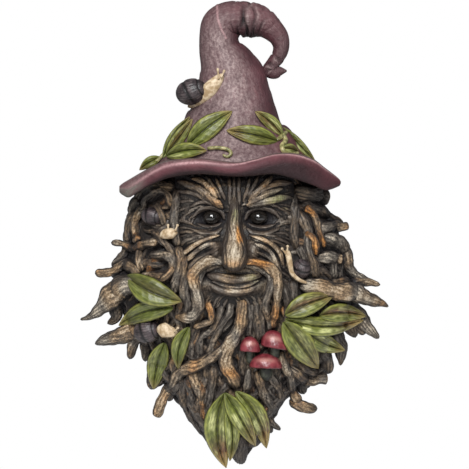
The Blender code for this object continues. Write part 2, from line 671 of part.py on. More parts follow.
def build():
    for obj in list(bpy.data.objects):
        bpy.data.objects.remove(obj)
    parts = bpy.data.collections.new("green_man_plaque")
    helpers = bpy.data.collections.new("cutters")
    for collection in (parts, helpers):
        bpy.context.scene.collection.children.link(collection)
    plaque = bpy.data.objects.new("plaque", gathered_carving())
    parts.objects.link(plaque)
    applied(plaque, fuse)
    flatten_back(plaque)
    applied(plaque, thin_out)
    level_back(plaque)
    remove_specks(plaque)
    plaque.data.materials.clear()
    plaque.data.materials.append(resin())
    cut_keyhole(plaque, helpers)


build()
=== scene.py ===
"""Looks of the green man wall plaque: a bearded root face under a drooping hat.

The real plaque is one painted resin casting, so every piece rides on the one body and stands for
a carved form in it. Lengths in the mesh code are in millimetres, as (across, depth, up) with the
wall at depth 0 and the front at negative depth, and each piece is turned into metres as it is made.
"""

import math

import bpy
import numpy as np
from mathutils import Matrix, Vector


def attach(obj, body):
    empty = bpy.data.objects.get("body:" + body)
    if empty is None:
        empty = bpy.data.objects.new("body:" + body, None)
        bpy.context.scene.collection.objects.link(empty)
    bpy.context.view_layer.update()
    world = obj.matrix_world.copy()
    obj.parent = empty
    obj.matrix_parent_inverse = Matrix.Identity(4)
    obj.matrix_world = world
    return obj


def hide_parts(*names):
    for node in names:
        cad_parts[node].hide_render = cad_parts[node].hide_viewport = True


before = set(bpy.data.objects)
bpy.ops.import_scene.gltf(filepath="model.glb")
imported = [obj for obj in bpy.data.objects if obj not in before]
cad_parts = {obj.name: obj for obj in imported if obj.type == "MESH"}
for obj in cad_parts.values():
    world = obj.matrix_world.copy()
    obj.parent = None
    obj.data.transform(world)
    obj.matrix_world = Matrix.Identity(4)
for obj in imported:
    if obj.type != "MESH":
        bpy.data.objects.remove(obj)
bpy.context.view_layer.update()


# The room: a plain white studio, a pale floor just under the plaque, one broad soft light over the
# camera and one small lamp that puts the bright specks in the eyes, and a long lens square to the face.

IMAGE_PIXELS = 469
MM_PER_PIXEL = 0.6424
SHARP_PLANE = 15.0
CAMERA_DISTANCE = 2500.0
SENSOR_WIDTH = 36
WALL_GLOW, SEEN_GLOW = 0.22, 1.0
FLOOR_UP = -0.2
FLOOR_PAINT = (0.97, 0.97, 0.97, 1)

world = bpy.data.worlds.new("studio")
bpy.context.scene.world = world
world.use_nodes = True
sky = world.node_tree.nodes["Background"]
seen = world.node_tree.nodes.new("ShaderNodeLightPath").outputs["Is Camera Ray"]
strength = world.node_tree.nodes.new("ShaderNodeMapRange")
strength.inputs["To Min"].default_value = WALL_GLOW
strength.inputs["To Max"].default_value = SEEN_GLOW
world.node_tree.links.new(seen, strength.inputs["Value"])
world.node_tree.links.new(strength.outputs["Result"], sky.inputs["Strength"])
sky.inputs["Color"].default_value = (1, 1, 1, 1)
bpy.context.scene.view_settings.view_transform = "Standard"

floor_mesh = bpy.data.meshes.new("floor")
floor_corners = [(x, y, FLOOR_UP) for x, y in ((-0.5, -0.5), (0.5, -0.5), (0.5, 0.4), (-0.5, 0.4))]
floor_mesh.from_pydata(floor_corners, [], [(0, 1, 2, 3)])
floor = bpy.data.objects.new("floor", floor_mesh)
bpy.context.scene.collection.objects.link(floor)
floor_paint = bpy.data.materials.new("pale_floor")
floor_paint.use_nodes = True
floor_paint.node_tree.nodes["Principled BSDF"].inputs["Base Color"].default_value = FLOOR_PAINT
floor_paint.node_tree.nodes["Principled BSDF"].inputs["Roughness"].default_value = 0.9
floor_mesh.materials.append(floor_paint)


def area_light(name, place, size, watts):
    """A square lamp at a place in metres, turned towards the middle of the plaque."""
    lamp = bpy.data.lights.new(name, "AREA")
    lamp.size = size
    lamp.energy = watts
    obj = bpy.data.objects.new(name, lamp)
    bpy.context.scene.collection.objects.link(obj)
    obj.location = place
    obj.rotation_euler = (-Vector(place)).to_track_quat("-Z", "Y").to_euler()


area_light("soft_box", (-0.2, -1.45, 0.95), 0.8, 30)
area_light("catch_light", (0.15, -1.6, 0.3), 0.15, 4)

camera_data = bpy.data.cameras.new("camera")
camera_data.sensor_width = SENSOR_WIDTH
camera_data.lens = SENSOR_WIDTH * CAMERA_DISTANCE / (IMAGE_PIXELS * MM_PER_PIXEL)
camera_data.clip_end = 20
camera = bpy.data.objects.new("camera", camera_data)
bpy.context.scene.collection.objects.link(camera)
camera.location = (0, -(CAMERA_DISTANCE + SHARP_PLANE) / 1000, 0)
camera.rotation_euler = (math.pi / 2, 0, 0)
bpy.context.scene.camera = camera


# The mass behind the roots: cast with the rest, a rounded ground that thins to its edges, painted
# nearly black, and flat where it lies on the wall.

# Each station: its height up the plaque, the left edge, the right edge, the depth in the middle
GROUND_STATIONS = np.array(
    [
        (44, -53, 51, 34), (20, -58, 54, 41), (0, -63, 65, 43), (-20, -69, 71, 43),
        (-40, -74, 75, 40), (-56, -68, 72, 36), (-70, -56, 62, 32), (-86, -49, 53, 28),
        (-100, -40, 36, 24), (-116, -27, 23, 19), (-130, -17, 17, 14), (-143, -6, 8, 9),
    ],
    float,
)[::-1]
GROUND_EDGE = 8.0
GROUND_TOP, GROUND_LOW = 44, -142
GROUND_RINGS, GROUND_ACROSS = 160, 61
GROUND_BACK, FORM_BACK = 0.3, 0.6
BARE_RESIN = (0.075, 0.055, 0.042)


def ground_edges(up):
    """The left and right edge of the ground at a height, on straight lines between the stations."""
    return (np.interp(up, GROUND_STATIONS[:, 0], GROUND_STATIONS[:, k]) for k in (1, 2))


def ground_depth(across, up):
    """How far the ground stands off the wall: the middle depth times the root of one less the sideways
    share to the power 2.4, on top of the edge's own depth."""
    left, right = ground_edges(up)
    middle = np.interp(up, GROUND_STATIONS[:, 0], GROUND_STATIONS[:, 3])
    share = np.abs((across - (left + right) / 2) / ((right - left) / 2))
    return GROUND_EDGE + (middle - GROUND_EDGE) * np.sqrt(np.clip(1 - share**2.4, 0, 1))


def solid(rings, **fields):
    """One closed surface through rings of points, each end drawn together to a point, with its values at
    the points. Faces are turned to look outwards, and facing is how squarely a point looks at the room:
    the forward part of the unit cross product of the directions round and along the rings."""
    rings = np.asarray(rings, float)
    count, around = rings.shape[:2]
    grid = np.arange(count * around).reshape(count, around)
    after = np.roll(grid, -1, axis=1)
    quads = np.stack([grid[:-1], after[:-1], after[1:], grid[1:]], axis=-1).reshape(-1, 4)
    start, end = np.full(around, count * around), np.full(around, count * around + 1)
    caps = np.vstack([np.stack([start, after[0], grid[0]], -1), np.stack([end, grid[-1], after[-1]], -1)])
    points = np.vstack([rings.reshape(-1, 3), rings[0].mean(0), rings[-1].mean(0)])
    a, b, c, d = (points[quads[:, k]] - points.mean(0) for k in range(4))
    if np.einsum("ij,ij->", a, np.cross(b, c) + np.cross(c, d)) < 0:
        quads, caps = quads[:, ::-1], caps[:, ::-1]
    normal = np.cross(np.roll(rings, -1, axis=1) - np.roll(rings, 1, axis=1), np.gradient(rings, axis=0))
    normal /= np.linalg.norm(normal, axis=-1, keepdims=True) + 1e-9
    if np.einsum("ijk,ijk->", normal, rings - rings.mean((0, 1))) < 0:
        normal = -normal
    values = {}
    for name, value in {**fields, "facing": -normal[..., 1]}.items():
        value = np.broadcast_to(np.asarray(value, float), (count, around))
        values[name] = np.concatenate([value.ravel(), [value[0].mean(), value[-1].mean()]])
    return {"points": points, "quads": quads, "caps": caps, "values": values}


def piece(name, solids, material, back=FORM_BACK):
    """One mesh object from closed surfaces, in metres, flat at its back and riding on the plaque's body."""
    starts = np.cumsum([0] + [len(s["points"]) for s in solids])
    faces = []
    for s, first in zip(solids, starts):
        faces += (s["quads"] + first).tolist() + (s["caps"] + first).tolist()
    mesh = bpy.data.meshes.new(name)
    points = np.vstack([s["points"] for s in solids]) / 1000
    points[:, 1] = np.minimum(points[:, 1], -back / 1000)
    mesh.from_pydata(points, [], faces)
    for field in solids[0]["values"]:
        values = np.concatenate([s["values"][field] for s in solids]).astype(np.float32)
        mesh.attributes.new(field, "FLOAT", "POINT").data.foreach_set("value", values)
    mesh.polygons.foreach_set("use_smooth", np.ones(len(mesh.polygons), bool))
    mesh.materials.append(material)
    obj = bpy.data.objects.new(name, mesh)
    bpy.context.scene.collection.objects.link(obj)
    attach(obj, "root")
    return obj


def new_group(name, inputs, outputs):
    """An empty shader node group with its sockets, its end node for inputs, and the one for outputs."""
    group = bpy.data.node_groups.new(name, "ShaderNodeTree")
    for title, kind, value in inputs:
        group.interface.new_socket(title, in_out="INPUT", socket_type=kind).default_value = value
    for title, kind in outputs:
        group.interface.new_socket(title, in_out="OUTPUT", socket_type=kind)
    return Wires(group), group.nodes.new("NodeGroupInput"), group.nodes.new("NodeGroupOutput")


class Wires:
    """Short calls that add nodes to one tree and join them."""

    def __init__(self, tree, shader=None):
        self.tree, self.shader = tree, shader

    def node(self, kind, **settings):
        """A new node of a kind, with its settings."""
        made = self.tree.nodes.new(kind)
        for name, value in settings.items():
            setattr(made, name, value)
        return made

    def put(self, socket, value):
        """Joins a socket to the value's output, or fills it with a plain number or colour."""
        if isinstance(value, bpy.types.NodeSocket):
            self.tree.links.new(value, socket)
        else:
            socket.default_value = value

    def field(self, name):
        """A value kept at the mesh's points."""
        return self.node("ShaderNodeAttribute", attribute_name=name).outputs["Fac"]

    def math(self, operation, a, b):
        """What one of the Math node's operations makes of two values."""
        made = self.node("ShaderNodeMath", operation=operation)
        self.put(made.inputs[0], a)
        self.put(made.inputs[1], b)
        return made.outputs[0]

    def times(self, first, *others):
        """The product of all the values."""
        for value in others:
            first = self.math("MULTIPLY", first, value)
        return first

    def ramp(self, value, low, high, to_low=0.0, to_high=1.0):
        """The value's place between low and high, smoothed at both ends."""
        made = self.node("ShaderNodeMapRange", interpolation_type="SMOOTHSTEP")
        for socket, given in zip(made.inputs[:5], (value, low, high, to_low, to_high)):
            self.put(socket, given)
        return made.outputs[0]

    def mix(self, share, a, b):
        """Paint a with so much of paint b over it."""
        made = self.node("ShaderNodeMix", data_type="RGBA")
        self.put(made.inputs[0], share)
        for socket, colour in ((made.inputs[6], a), (made.inputs[7], b)):
            self.put(socket, (*colour, 1) if isinstance(colour, tuple) else colour)
        return made.outputs[2]

    def noise(self, scale, detail=3.0, roughness=0.55, vector=None):
        """Cloudy noise over the vector, or else over the point's own place on the object, in metres."""
        made = self.node("ShaderNodeTexNoise")
        if vector is None:
            vector = self.node("ShaderNodeTexCoord").outputs["Object"]
        self.put(made.inputs["Vector"], vector)
        for title, value in (("Scale", scale), ("Detail", detail), ("Roughness", roughness)):
            self.put(made.inputs[title], value)
        return made.outputs[0]

    def vector(self, x, y):
        """A flat place made of two values, for a texture to be read at."""
        made = self.node("ShaderNodeCombineXYZ")
        self.put(made.inputs[0], x)
        self.put(made.inputs[1], y)
        return made.outputs[0]

    def group(self, name, **given):
        """The outputs of a node group that is placed here with its own values."""
        made = self.node("ShaderNodeGroup", node_tree=bpy.data.node_groups[name])
        for title, value in given.items():
            self.put(made.inputs[title], value)
        return made.outputs

    def paint(self, colour):
        """Joins a colour to the shader."""
        self.put(self.shader.inputs["Base Color"], colour)

    def bump(self, height, distance):
        """Joins a height to the shader's normal through a bump node."""
        made = self.node("ShaderNodeBump")
        made.inputs["Strength"].default_value = 1.0
        made.inputs["Distance"].default_value = distance
        self.put(made.inputs["Height"], height)
        self.put(self.shader.inputs["Normal"], made.outputs[0])


def new_material(name, roughness, **constants):
    """A material whose Principled shader keeps its fixed values on its own sockets, and its wires."""
    material = bpy.data.materials.new(name)
    material.use_nodes = True
    shader = material.node_tree.nodes["Principled BSDF"]
    shader.inputs["Roughness"].default_value = roughness
    for title, value in constants.items():
        shader.inputs[title.replace("_", " ")].default_value = value
    return material, Wires(material.node_tree, shader)


# The flat back isn't painted: the bare casting shows where a point looks at the wall.
wires, given, result = new_group(
    "bare_back", [("Paint", "NodeSocketColor", (0, 0, 0, 1))], [("Base Color", "NodeSocketColor")]
)
rear = wires.ramp(wires.field("facing"), -0.6, -0.9)
wires.put(result.inputs[0], wires.mix(rear, given.outputs[0], BARE_RESIN))

dark_wash, wires = new_material("dark_wash", 0.7)
stain = wires.ramp(wires.noise(220.0, 4.0), 0.35, 0.7)
dark = wires.mix(stain, (0.008, 0.006, 0.006), (0.035, 0.026, 0.021))
wires.paint(wires.group("bare_back", Paint=dark)[0])
wires.bump(stain, 0.0006)

turn = np.linspace(0, math.pi, GROUND_ACROSS)[None, :]
up = np.linspace(GROUND_TOP, GROUND_LOW, GROUND_RINGS)[:, None] + 0 * turn
left, right = ground_edges(up)
across = (left + right) / 2 - (right - left) / 2 * np.cos(turn)
lumps = 0.9 * np.sin(across * 0.9 + up * 0.35) * np.sin(up * 0.21 + across * 0.15)
front = np.stack([across, -(ground_depth(across, up) + lumps), up], axis=-1)
back = np.stack([across, np.full_like(up, -GROUND_BACK), up], axis=-1)[:, ::-1]
ground = piece("ground", [solid(np.concatenate([front, back], axis=1))], dark_wash, GROUND_BACK)
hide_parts("plaque")


# Root wood: the hair and the beard are round tapering roots with bark grooves along them, brushed with
# tan, grey and burnt orange paint over a nearly black wash, so that the crests are light.

ROOT_GRAIN = 0.8
TOWARDS_ROOM = np.array([0.0, -1.0, 0.0])
LANE_WIDTH = 2.6
END_DIP = 4.5


def bell(value, middle, width, power=2):
    """The bell curve: e to the minus of the distance from the middle over the width, to the power."""
    return np.exp(-(((value - middle) / width) ** power))


def rise(value, start, end):
    """Nothing up to the start, one from the end on, and a straight line between."""
    return np.clip((value - start) / (end - start), 0, 1)


def spread_over(values, count):
    """A few values, evenly placed, read at so many places on the straight lines between them."""
    return np.interp(np.linspace(0, 1, count), np.linspace(0, 1, len(values)), values)


def full_turn(count, start=0.0):
    """So many equal steps of a full turn from the start, as one row."""
    return np.linspace(start, start + 2 * math.pi, count, endpoint=False)[None, :]


def smooth_route(points, steps):
    """Points along a Catmull-Rom spline, which is a smooth curve through all the given points."""
    points = np.asarray(points, float)
    padded = np.vstack([2 * points[0] - points[1], points, 2 * points[-1] - points[-2]])
    at = np.linspace(0, len(points) - 1, steps)
    span = np.minimum(at.astype(int), len(points) - 2)
    t = (at - span)[:, None]
    a, b, c, d = (padded[span + k] for k in range(4))
    return 0.5 * (2 * b + (c - a) * t + (2 * a - 5 * b + 4 * c - d) * t**2 + (3 * b - a - 3 * c + d) * t**3)


def evenly(line, step):
    """The same line with points at equal distances, and the distances. Its first three columns are the
    place."""
    gone = np.concatenate([[0], np.cumsum(np.linalg.norm(np.diff(line[:, :3], axis=0), axis=1))])
    at = np.linspace(0, gone[-1], max(8, int(gone[-1] / step)))
    return np.column_stack([np.interp(at, gone, line[:, k]) for k in range(line.shape[1])]), at


def tube_frame(line):
    """The direction of a line at each point, with the outward and sideways directions square to it."""
    ahead = np.gradient(line, axis=0)
    ahead /= np.linalg.norm(ahead, axis=1, keepdims=True)
    out = TOWARDS_ROOM - ahead * (ahead @ TOWARDS_ROOM)[:, None]
    out /= np.linalg.norm(out, axis=1, keepdims=True)
    return ahead, out, np.cross(ahead, out)


def tube_rings(line, out, side, radius, turn, squash=1.0):
    """Rings round a line: at each turn, the radius times its cosine outwards and its sine sideways."""
    outward = squash * np.cos(turn)[..., None] * out[:, None]
    sideways = np.sin(turn)[..., None] * side[:, None]
    return line[:, None] + radius[..., None] * (outward + sideways)


def root(route, thickness, lift, hue, light, end="point", over=ground_depth, seed=0):
    """A root: a tube along the route, laid over a surface and sinking into it at its ends. Its radius is
    the taper times slow swellings. The bark is the size of a sine of so many turns round the tube, which
    wanders along it and fades in and out."""
    key = abs(7 * route[0][0] + 13 * route[-1][1] + 3 * route[-1][0])
    shift = np.random.default_rng(seed + int(key * 10)).uniform(0, 6.28, 10)
    given = [route, spread_over(thickness, len(route)), spread_over(lift, len(route))]
    dense = smooth_route(np.column_stack(given), 30 * len(route))
    depth = over(dense[:, 0], dense[:, 1]) + dense[:, 3]
    line, at = evenly(np.column_stack([dense[:, 0], -depth, dense[:, 1], dense[:, 2]]), ROOT_GRAIN)
    reach = min(max(6, int(3.2 * line[:, 3].max())), (len(line) - 1) // 2)
    kernel = np.hanning(2 * reach + 3)[1:-1]
    line[:, 1] = np.convolve(np.pad(line[:, 1], reach, mode="edge"), kernel / kernel.sum(), "valid")
    togo = at[-1] - at
    line[:, 1] += 1.3 * line[0, 3] * bell(at, 0, END_DIP)
    if end == "point":
        line[:, 1] += 0.9 * line[-1, 3] * bell(togo, 0, END_DIP)
    calm = np.minimum(1, np.minimum(at, togo) / 5)
    line[:, 0] += 0.5 * np.sin(at / 5.1 + shift[0]) * calm
    line[:, 2] += 0.5 * np.sin(at / 4.3 + shift[1]) * calm
    ahead, out, side = tube_frame(line[:, :3])
    knots = 0.09 * np.sin(at / 2.4 + shift[2]) + 0.06 * np.sin(at / 1.1 + shift[3])
    radius = line[:, 3] * (1 + np.minimum(1, 3.0 / line[:, 3]) * knots)
    left = np.clip(0.62 + togo / 3.5, 0, 1) if end == "sawn" else rise(togo, 0, 1.6 * radius)
    radius = radius * np.sqrt(1 - (1 - left) ** 2).clip(0.05)
    radius = radius * np.sqrt(1 - (1 - rise(at, 0, 1.5 * radius.max())) ** 2).clip(0.1)
    girth = 2 * math.pi * line[:, 3].mean()
    turn = full_turn(max(12, int(girth / ROOT_GRAIN / 2) * 2), -math.pi)
    s = at[:, None]
    lanes = max(4, round(girth / LANE_WIDTH))
    wander = 2.2 * np.sin(s / 5.1 + shift[4]) + 1.1 * np.sin(s / 2.3 + shift[5] + turn)
    fade = 0.7 + 0.3 * np.sin(s / 3.1 + 3 * turn + shift[8])
    bark = np.abs(np.sin((lanes * turn + wander) / 2)) ** 0.8
    fine = np.abs(np.sin(((2 * lanes + 1) * turn + 2.5 * wander + shift[6]) / 2))
    relief = 0.5 + fade * (0.7 * bark + 0.3 * fine - 0.5)
    rough = (np.minimum(0.75, 0.23 * radius) * np.minimum(1, 4 / radius) ** 0.5)[:, None]
    lobes = 0.08 * np.cos(2 * turn + shift[7]) + 0.07 * np.cos(3 * turn + s / 6.0 + shift[9])
    size = radius[:, None] * (1 + lobes) + rough * (relief - 0.5)
    rings = tube_rings(line[:, :3], out, side, size, turn)
    drift = 0.22 * np.sin(s / 7.3 + shift[1]) + 0.12 * np.sin(s / 2.9 + shift[4] + turn)
    saw = np.zeros(len(at))
    if end == "sawn":
        rim = rings[-1:]
        heart = rim.mean(axis=1, keepdims=True)
        push = ahead[-1] * radius[-1]
        inner, middle = heart + (rim - heart) * 0.75 + 0.18 * push, heart + (rim - heart) * 0.4 + 0.3 * push
        rings = np.concatenate([rings, inner, middle])
        relief, drift, at = (np.concatenate([field, field[-1:], field[-1:]]) for field in (relief, drift, at))
        saw = np.append(saw, [1, 1])
    return solid(
        rings,
        relief=relief,
        hue=np.clip(hue + drift, 0, 1),
        light=light,
        saw=saw[:, None],
        sunk=0.0,
        along=at[:, None] + 40 * shift[0],
        round=turn * line[:, 3].mean(),
    )


# Root paint, from the bottom up: the wash, dark in the grooves, with painted shade in the gaps; pale grey,
# tan or orange that is brushed over the crests, more of it as a painted highlight where they look at the
# room and less as painted shade on their sides; a painted highlight where it is thickest; moss; and raw
# wood on sawn ends.
wires, given, result = new_group(
    "root_paint",
    [("Brushed", "NodeSocketFloat", 1.0)],
    [("Base Color", "NodeSocketColor"), ("Roughness", "NodeSocketFloat"), ("Height", "NodeSocketFloat")],
)
hue, light, sunk = (wires.field(name) for name in ("hue", "light", "sunk"))
grain_at = wires.vector(wires.field("round"), wires.times(wires.field("along"), 0.25))
grain = wires.noise(1.5, 4.0, 0.65, grain_at)
crest = wires.ramp(wires.math("ADD", wires.field("relief"), wires.times(grain, 1.1)), 0.80, 1.42)
blotches = wires.ramp(wires.noise(150.0), 0.25, 0.62, 0.3, 1.2)
speckles = wires.ramp(wires.noise(900.0, 2.0, 0.7), 0.3, 0.68, 0.4, 1.35)
# Less is brushed where the wash and the painted shade lie in the gaps.
dry = wires.math("POWER", wires.math("SUBTRACT", 1.0, sunk), 1.5)
# Painted highlight and shade: brushed paint is lighter where a surface looks at the room, darker on its sides.
squarely = wires.ramp(wires.field("facing"), 0.3, 1.0)
brush = wires.times(squarely, light, blotches, speckles, dry, given.outputs["Brushed"])
broad = wires.ramp(light, 0.5, 1.9, 0.05, 0.34)
filled = wires.math("ADD", crest, wires.times(broad, wires.math("SUBTRACT", 1.0, crest)))
laid = wires.times(filled, brush)
wood = wires.mix(crest, (0.007, 0.005, 0.004), (0.060, 0.044, 0.036))
# Painted shade: the wood is darker still where it lies back in the gaps.
wood = wires.mix(sunk, wood, (0.006, 0.004, 0.006))
pale = wires.mix(wires.ramp(hue, 0.1, 0.5), (0.30, 0.26, 0.21), (0.42, 0.285, 0.16))
pale = wires.mix(wires.ramp(hue, 0.5, 0.95), pale, (0.52, 0.21, 0.04))
paint = wires.mix(laid, wood, pale)
# Painted highlight: near white or light orange where the brushed paint is thickest.
gleam = wires.mix(wires.ramp(hue, 0.35, 0.9), (0.62, 0.53, 0.40), (0.76, 0.40, 0.14))
paint = wires.mix(wires.ramp(laid, 0.75, 1.6, 0.0, 0.8), paint, gleam)
paint = wires.mix(wires.times(wires.field("moss"), wires.ramp(laid, 0.05, 0.6)), paint, (0.24, 0.25, 0.09))
sawn = wires.mix(wires.ramp(wires.noise(400.0, 2.0), 0.3, 0.7), (0.10, 0.05, 0.02), (0.42, 0.25, 0.11))
wires.put(result.inputs["Base Color"], wires.mix(wires.field("saw"), paint, sawn))
wires.put(result.inputs["Roughness"], wires.ramp(crest, 0.0, 1.0, 0.60, 0.36))
wires.put(result.inputs["Height"], wires.math("ADD", wires.times(grain, 0.8), crest))


def root_material(name, brushed):
    """Root paint with more or less of the light colours brushed on."""
    material, wires = new_material(name, 0.5, Coat_Weight=0.15, Coat_Roughness=0.3)
    paint = wires.group("root_paint", Brushed=brushed)
    wires.paint(paint["Base Color"])
    wires.put(wires.shader.inputs["Roughness"], paint["Roughness"])
    wires.bump(paint["Height"], 0.0006)
    return material


bark = root_material("root_bark", 1.0)
# A copy with less brushed on: painted shade for the under-roots and rim roots that lie deeper.
shade_bark = root_material("root_bark_in_shade", 0.85)


# Under-roots: thinner dark roots that fill the hair and the beard under the named ones, each following
# the way the hair falls: outwards beside the face and down below it.

UNDER_ROOT_ROWS, UNDER_ROOT_GAP, UNDER_ROOT_STEP = 8.5, 7.5, 4.4
FACE_HALF_WIDTH, FACE_LOW = 31, -34
CHIN_UP = -30


def fall_of_hair(across, up):
    """The direction in which roots run at a point: sideways and a little down beside the face, and down
    and inwards under it."""
    beard = np.clip((CHIN_UP - up) / 40, 0, 1)
    sideways = np.sign(across) * (1 - beard) * 0.9 + beard * (-across / 70)
    down = -(0.35 + 0.9 * beard + 0.5 * np.clip(-up / 60, 0, 1))
    length = math.hypot(sideways, down)
    return sideways / length, down / length


dice = np.random.default_rng(11)
under = {"left": [], "right": []}
for row_up in np.arange(42, -128, -UNDER_ROOT_ROWS):
    left, right = ground_edges(row_up)
    for across in np.arange(left + 3, right - 2, UNDER_ROOT_GAP):
        if abs(across) < FACE_HALF_WIDTH and row_up > FACE_LOW:
            continue
        x, z = across + dice.uniform(-3, 3), row_up + dice.uniform(-3, 3)
        swing, beat, start = dice.uniform(0.35, 0.9), dice.uniform(0.6, 1.1), dice.uniform(0, 6.28)
        route = [(x, z)]
        for step in range(dice.integers(7, 13)):
            dx, dz = fall_of_hair(x, z)
            bend = swing * math.sin(step * beat + start)
            x += UNDER_ROOT_STEP * (dx * math.cos(bend) - dz * math.sin(bend))
            z += UNDER_ROOT_STEP * (dz * math.cos(bend) + dx * math.sin(bend))
            low, high = ground_edges(z)
            if not low + 1.5 < x < high - 1.5 or z < -140:
                break
            route.append((x, z))
        if len(route) < 4:
            continue
        thick = dice.uniform(1.8, 3.1)
        under["left" if across < 0 else "right"].append(
            root(
                route,
                (0.8 * thick, thick, 0.75 * thick, 0.35 * thick),
                (0, dice.uniform(0.3, 2.2), 0.6, 0),
                dice.uniform(0, 0.7),
                dice.uniform(0.35, 1.1),
            )
        )

# Rim roots: three plain roots one over the other down each edge of the plaque, between the wall and the
# first roots of the front, cast with them and painted darker as shade.
RIM_DEPTHS = (4.0, 9.5, 15.0)


def level(depth):
    """A flat surface that stands so far off the wall."""
    return lambda across, up: np.full_like(across, depth)


rim = []
ups = np.linspace(37, -137, 22)
for side, edge in zip((-1, 1), ground_edges(ups)):
    for k, depth in enumerate(RIM_DEPTHS):
        route = np.column_stack([edge - side * (1.0 + 1.5 * k) + 0.9 * np.sin(ups / 5.0 + k * 2), ups])
        rim.append(root(route, (3.6, 3.2), (0, 0), 0.3, 0.4, over=level(depth), seed=k))


# The roots that the carver drew one by one: each line is a route as (across, up), the radii along it and
# its heights over the ground, how orange it is, how much light paint is brushed on, and whether its end
# is sawn.

HAIR_LEFT = (
    (((-63.5, 21), (-58, 28), (-48, 31), (-38, 30)), (3.6, 3.2), (1, 5), 0.25, 0.78),
    (((-59, 24), (-64, 20.5), (-66.8, 16), (-64.5, 12)), (2.5, 2.5), (2, 1), 0.2, 0.78),
    (((-62, 15), (-67, 11), (-69, 7.2), (-66, 3)), (2.6, 2.4), (2, 1), 0.2, 0.78),
    (((-58, 17), (-56, 23.5), (-49, 27.5), (-42.5, 25), (-40, 17)), (2.6, 2.2), (7, 5), 0.3, 0.78),
    (((-57, 19), (-62, 12), (-64, 4), (-62, -6)), (2.6, 3.2), (8, 6), 0.5, 1.2),
    (((-48, -4), (-56, -6), (-64, -8.5), (-72, -6.5), (-79.5, -5.2)), (3.0, 1.9), (9, 3), 0.6, 1.3),
    (((-60, -9), (-60.5, -16), (-59, -24)), (2.6, 2.4), (6, 5), 0.5, 1),
    (((-66, 15), (-68, 4), (-68, -5), (-72, -14), (-79, -21)), (3.2, 2.8), (1, 0), 0.2, 0.65),
    (((-61, -27), (-65, -21), (-71, -19.5), (-78, -23.5), (-90, -25.2)),
     (3.0, 3.4, 3.6, 3.2, 2.4), (7, 0), 0.45, 1.3),
    (((-66, -30), (-72, -26), (-80, -25.5)), (3.6, 2.6), (2, 0), 0.3, 0.78),
    (((-58, -31), (-69.5, -33), (-79, -39.3), (-84.6, -46.2), (-90.5, -51.3), (-99.3, -54.8)),
     (5, 7.0, 7.7, 5.2, 2.6, 0.8), (5, 7, 12, 9, 6, 2), 0.25, 1.5),
    (((-60, 27), (-63.5, 19), (-64, 9)), (4.4, 4.2), (-1, -2), 0.1, 0.39),
    (((-66, -17), (-71.5, -22.5), (-75, -29)), (4.0, 3.4), (0, -1), 0.1, 0.39),
    (((-72, -36), (-76, -46), (-77, -53.5), (-82, -57.5)), (6.4, 4.6, 1.4), (2, 0), 0.2, 0.65),
    (((-60, -60), (-72, -64), (-81, -67.5), (-90, -70.6)), (5.6, 6.0, 4.4, 2.0), (3, 0), 0.35, 1.4),
    (((-59, -61), (-64.5, -70), (-67.8, -80.4)), (5.6, 2.2), (2, 0), 0.3, 1),
    (((-54, -64), (-57.5, -72), (-57.5, -82)), (4.2, 2.0), (2, 0), 0.2, 0.65),
    (((-54, -13), (-45, -12.5), (-38.5, -18), (-43, -25.5), (-55, -26)), (2.6, 2.8), (7, 4), 0.4, 1),
    (((-37, 29), (-38.5, 14), (-37.5, 3), (-36, -8)), (3.0, 2.8), (3, 5), 0.2, 0.65),
    (((-53, 2), (-47, -3), (-41, -8), (-38, -16)), (2.8, 2.4), (4, 5), 0.2, 0.65),
    (((-36, -7), (-34.5, -16), (-37, -26), (-38, -38)), (2.6, 2.6), (7, 5), 0.3, 0.91),
    (((-31, -13), (-32.5, -22), (-33, -32), (-32, -44)), (2.5, 2.6), (7, 5), 0.3, 0.78),
    (((-38, -20), (-43, -26), (-48, -30)), (2.8, 2.2), (9, 6), 0.55, 1.2),
    (((-50, 20), (-46, 12), (-45, 5)), (2.6, 2.4), (4, 4), 0.2, 0.52),
)
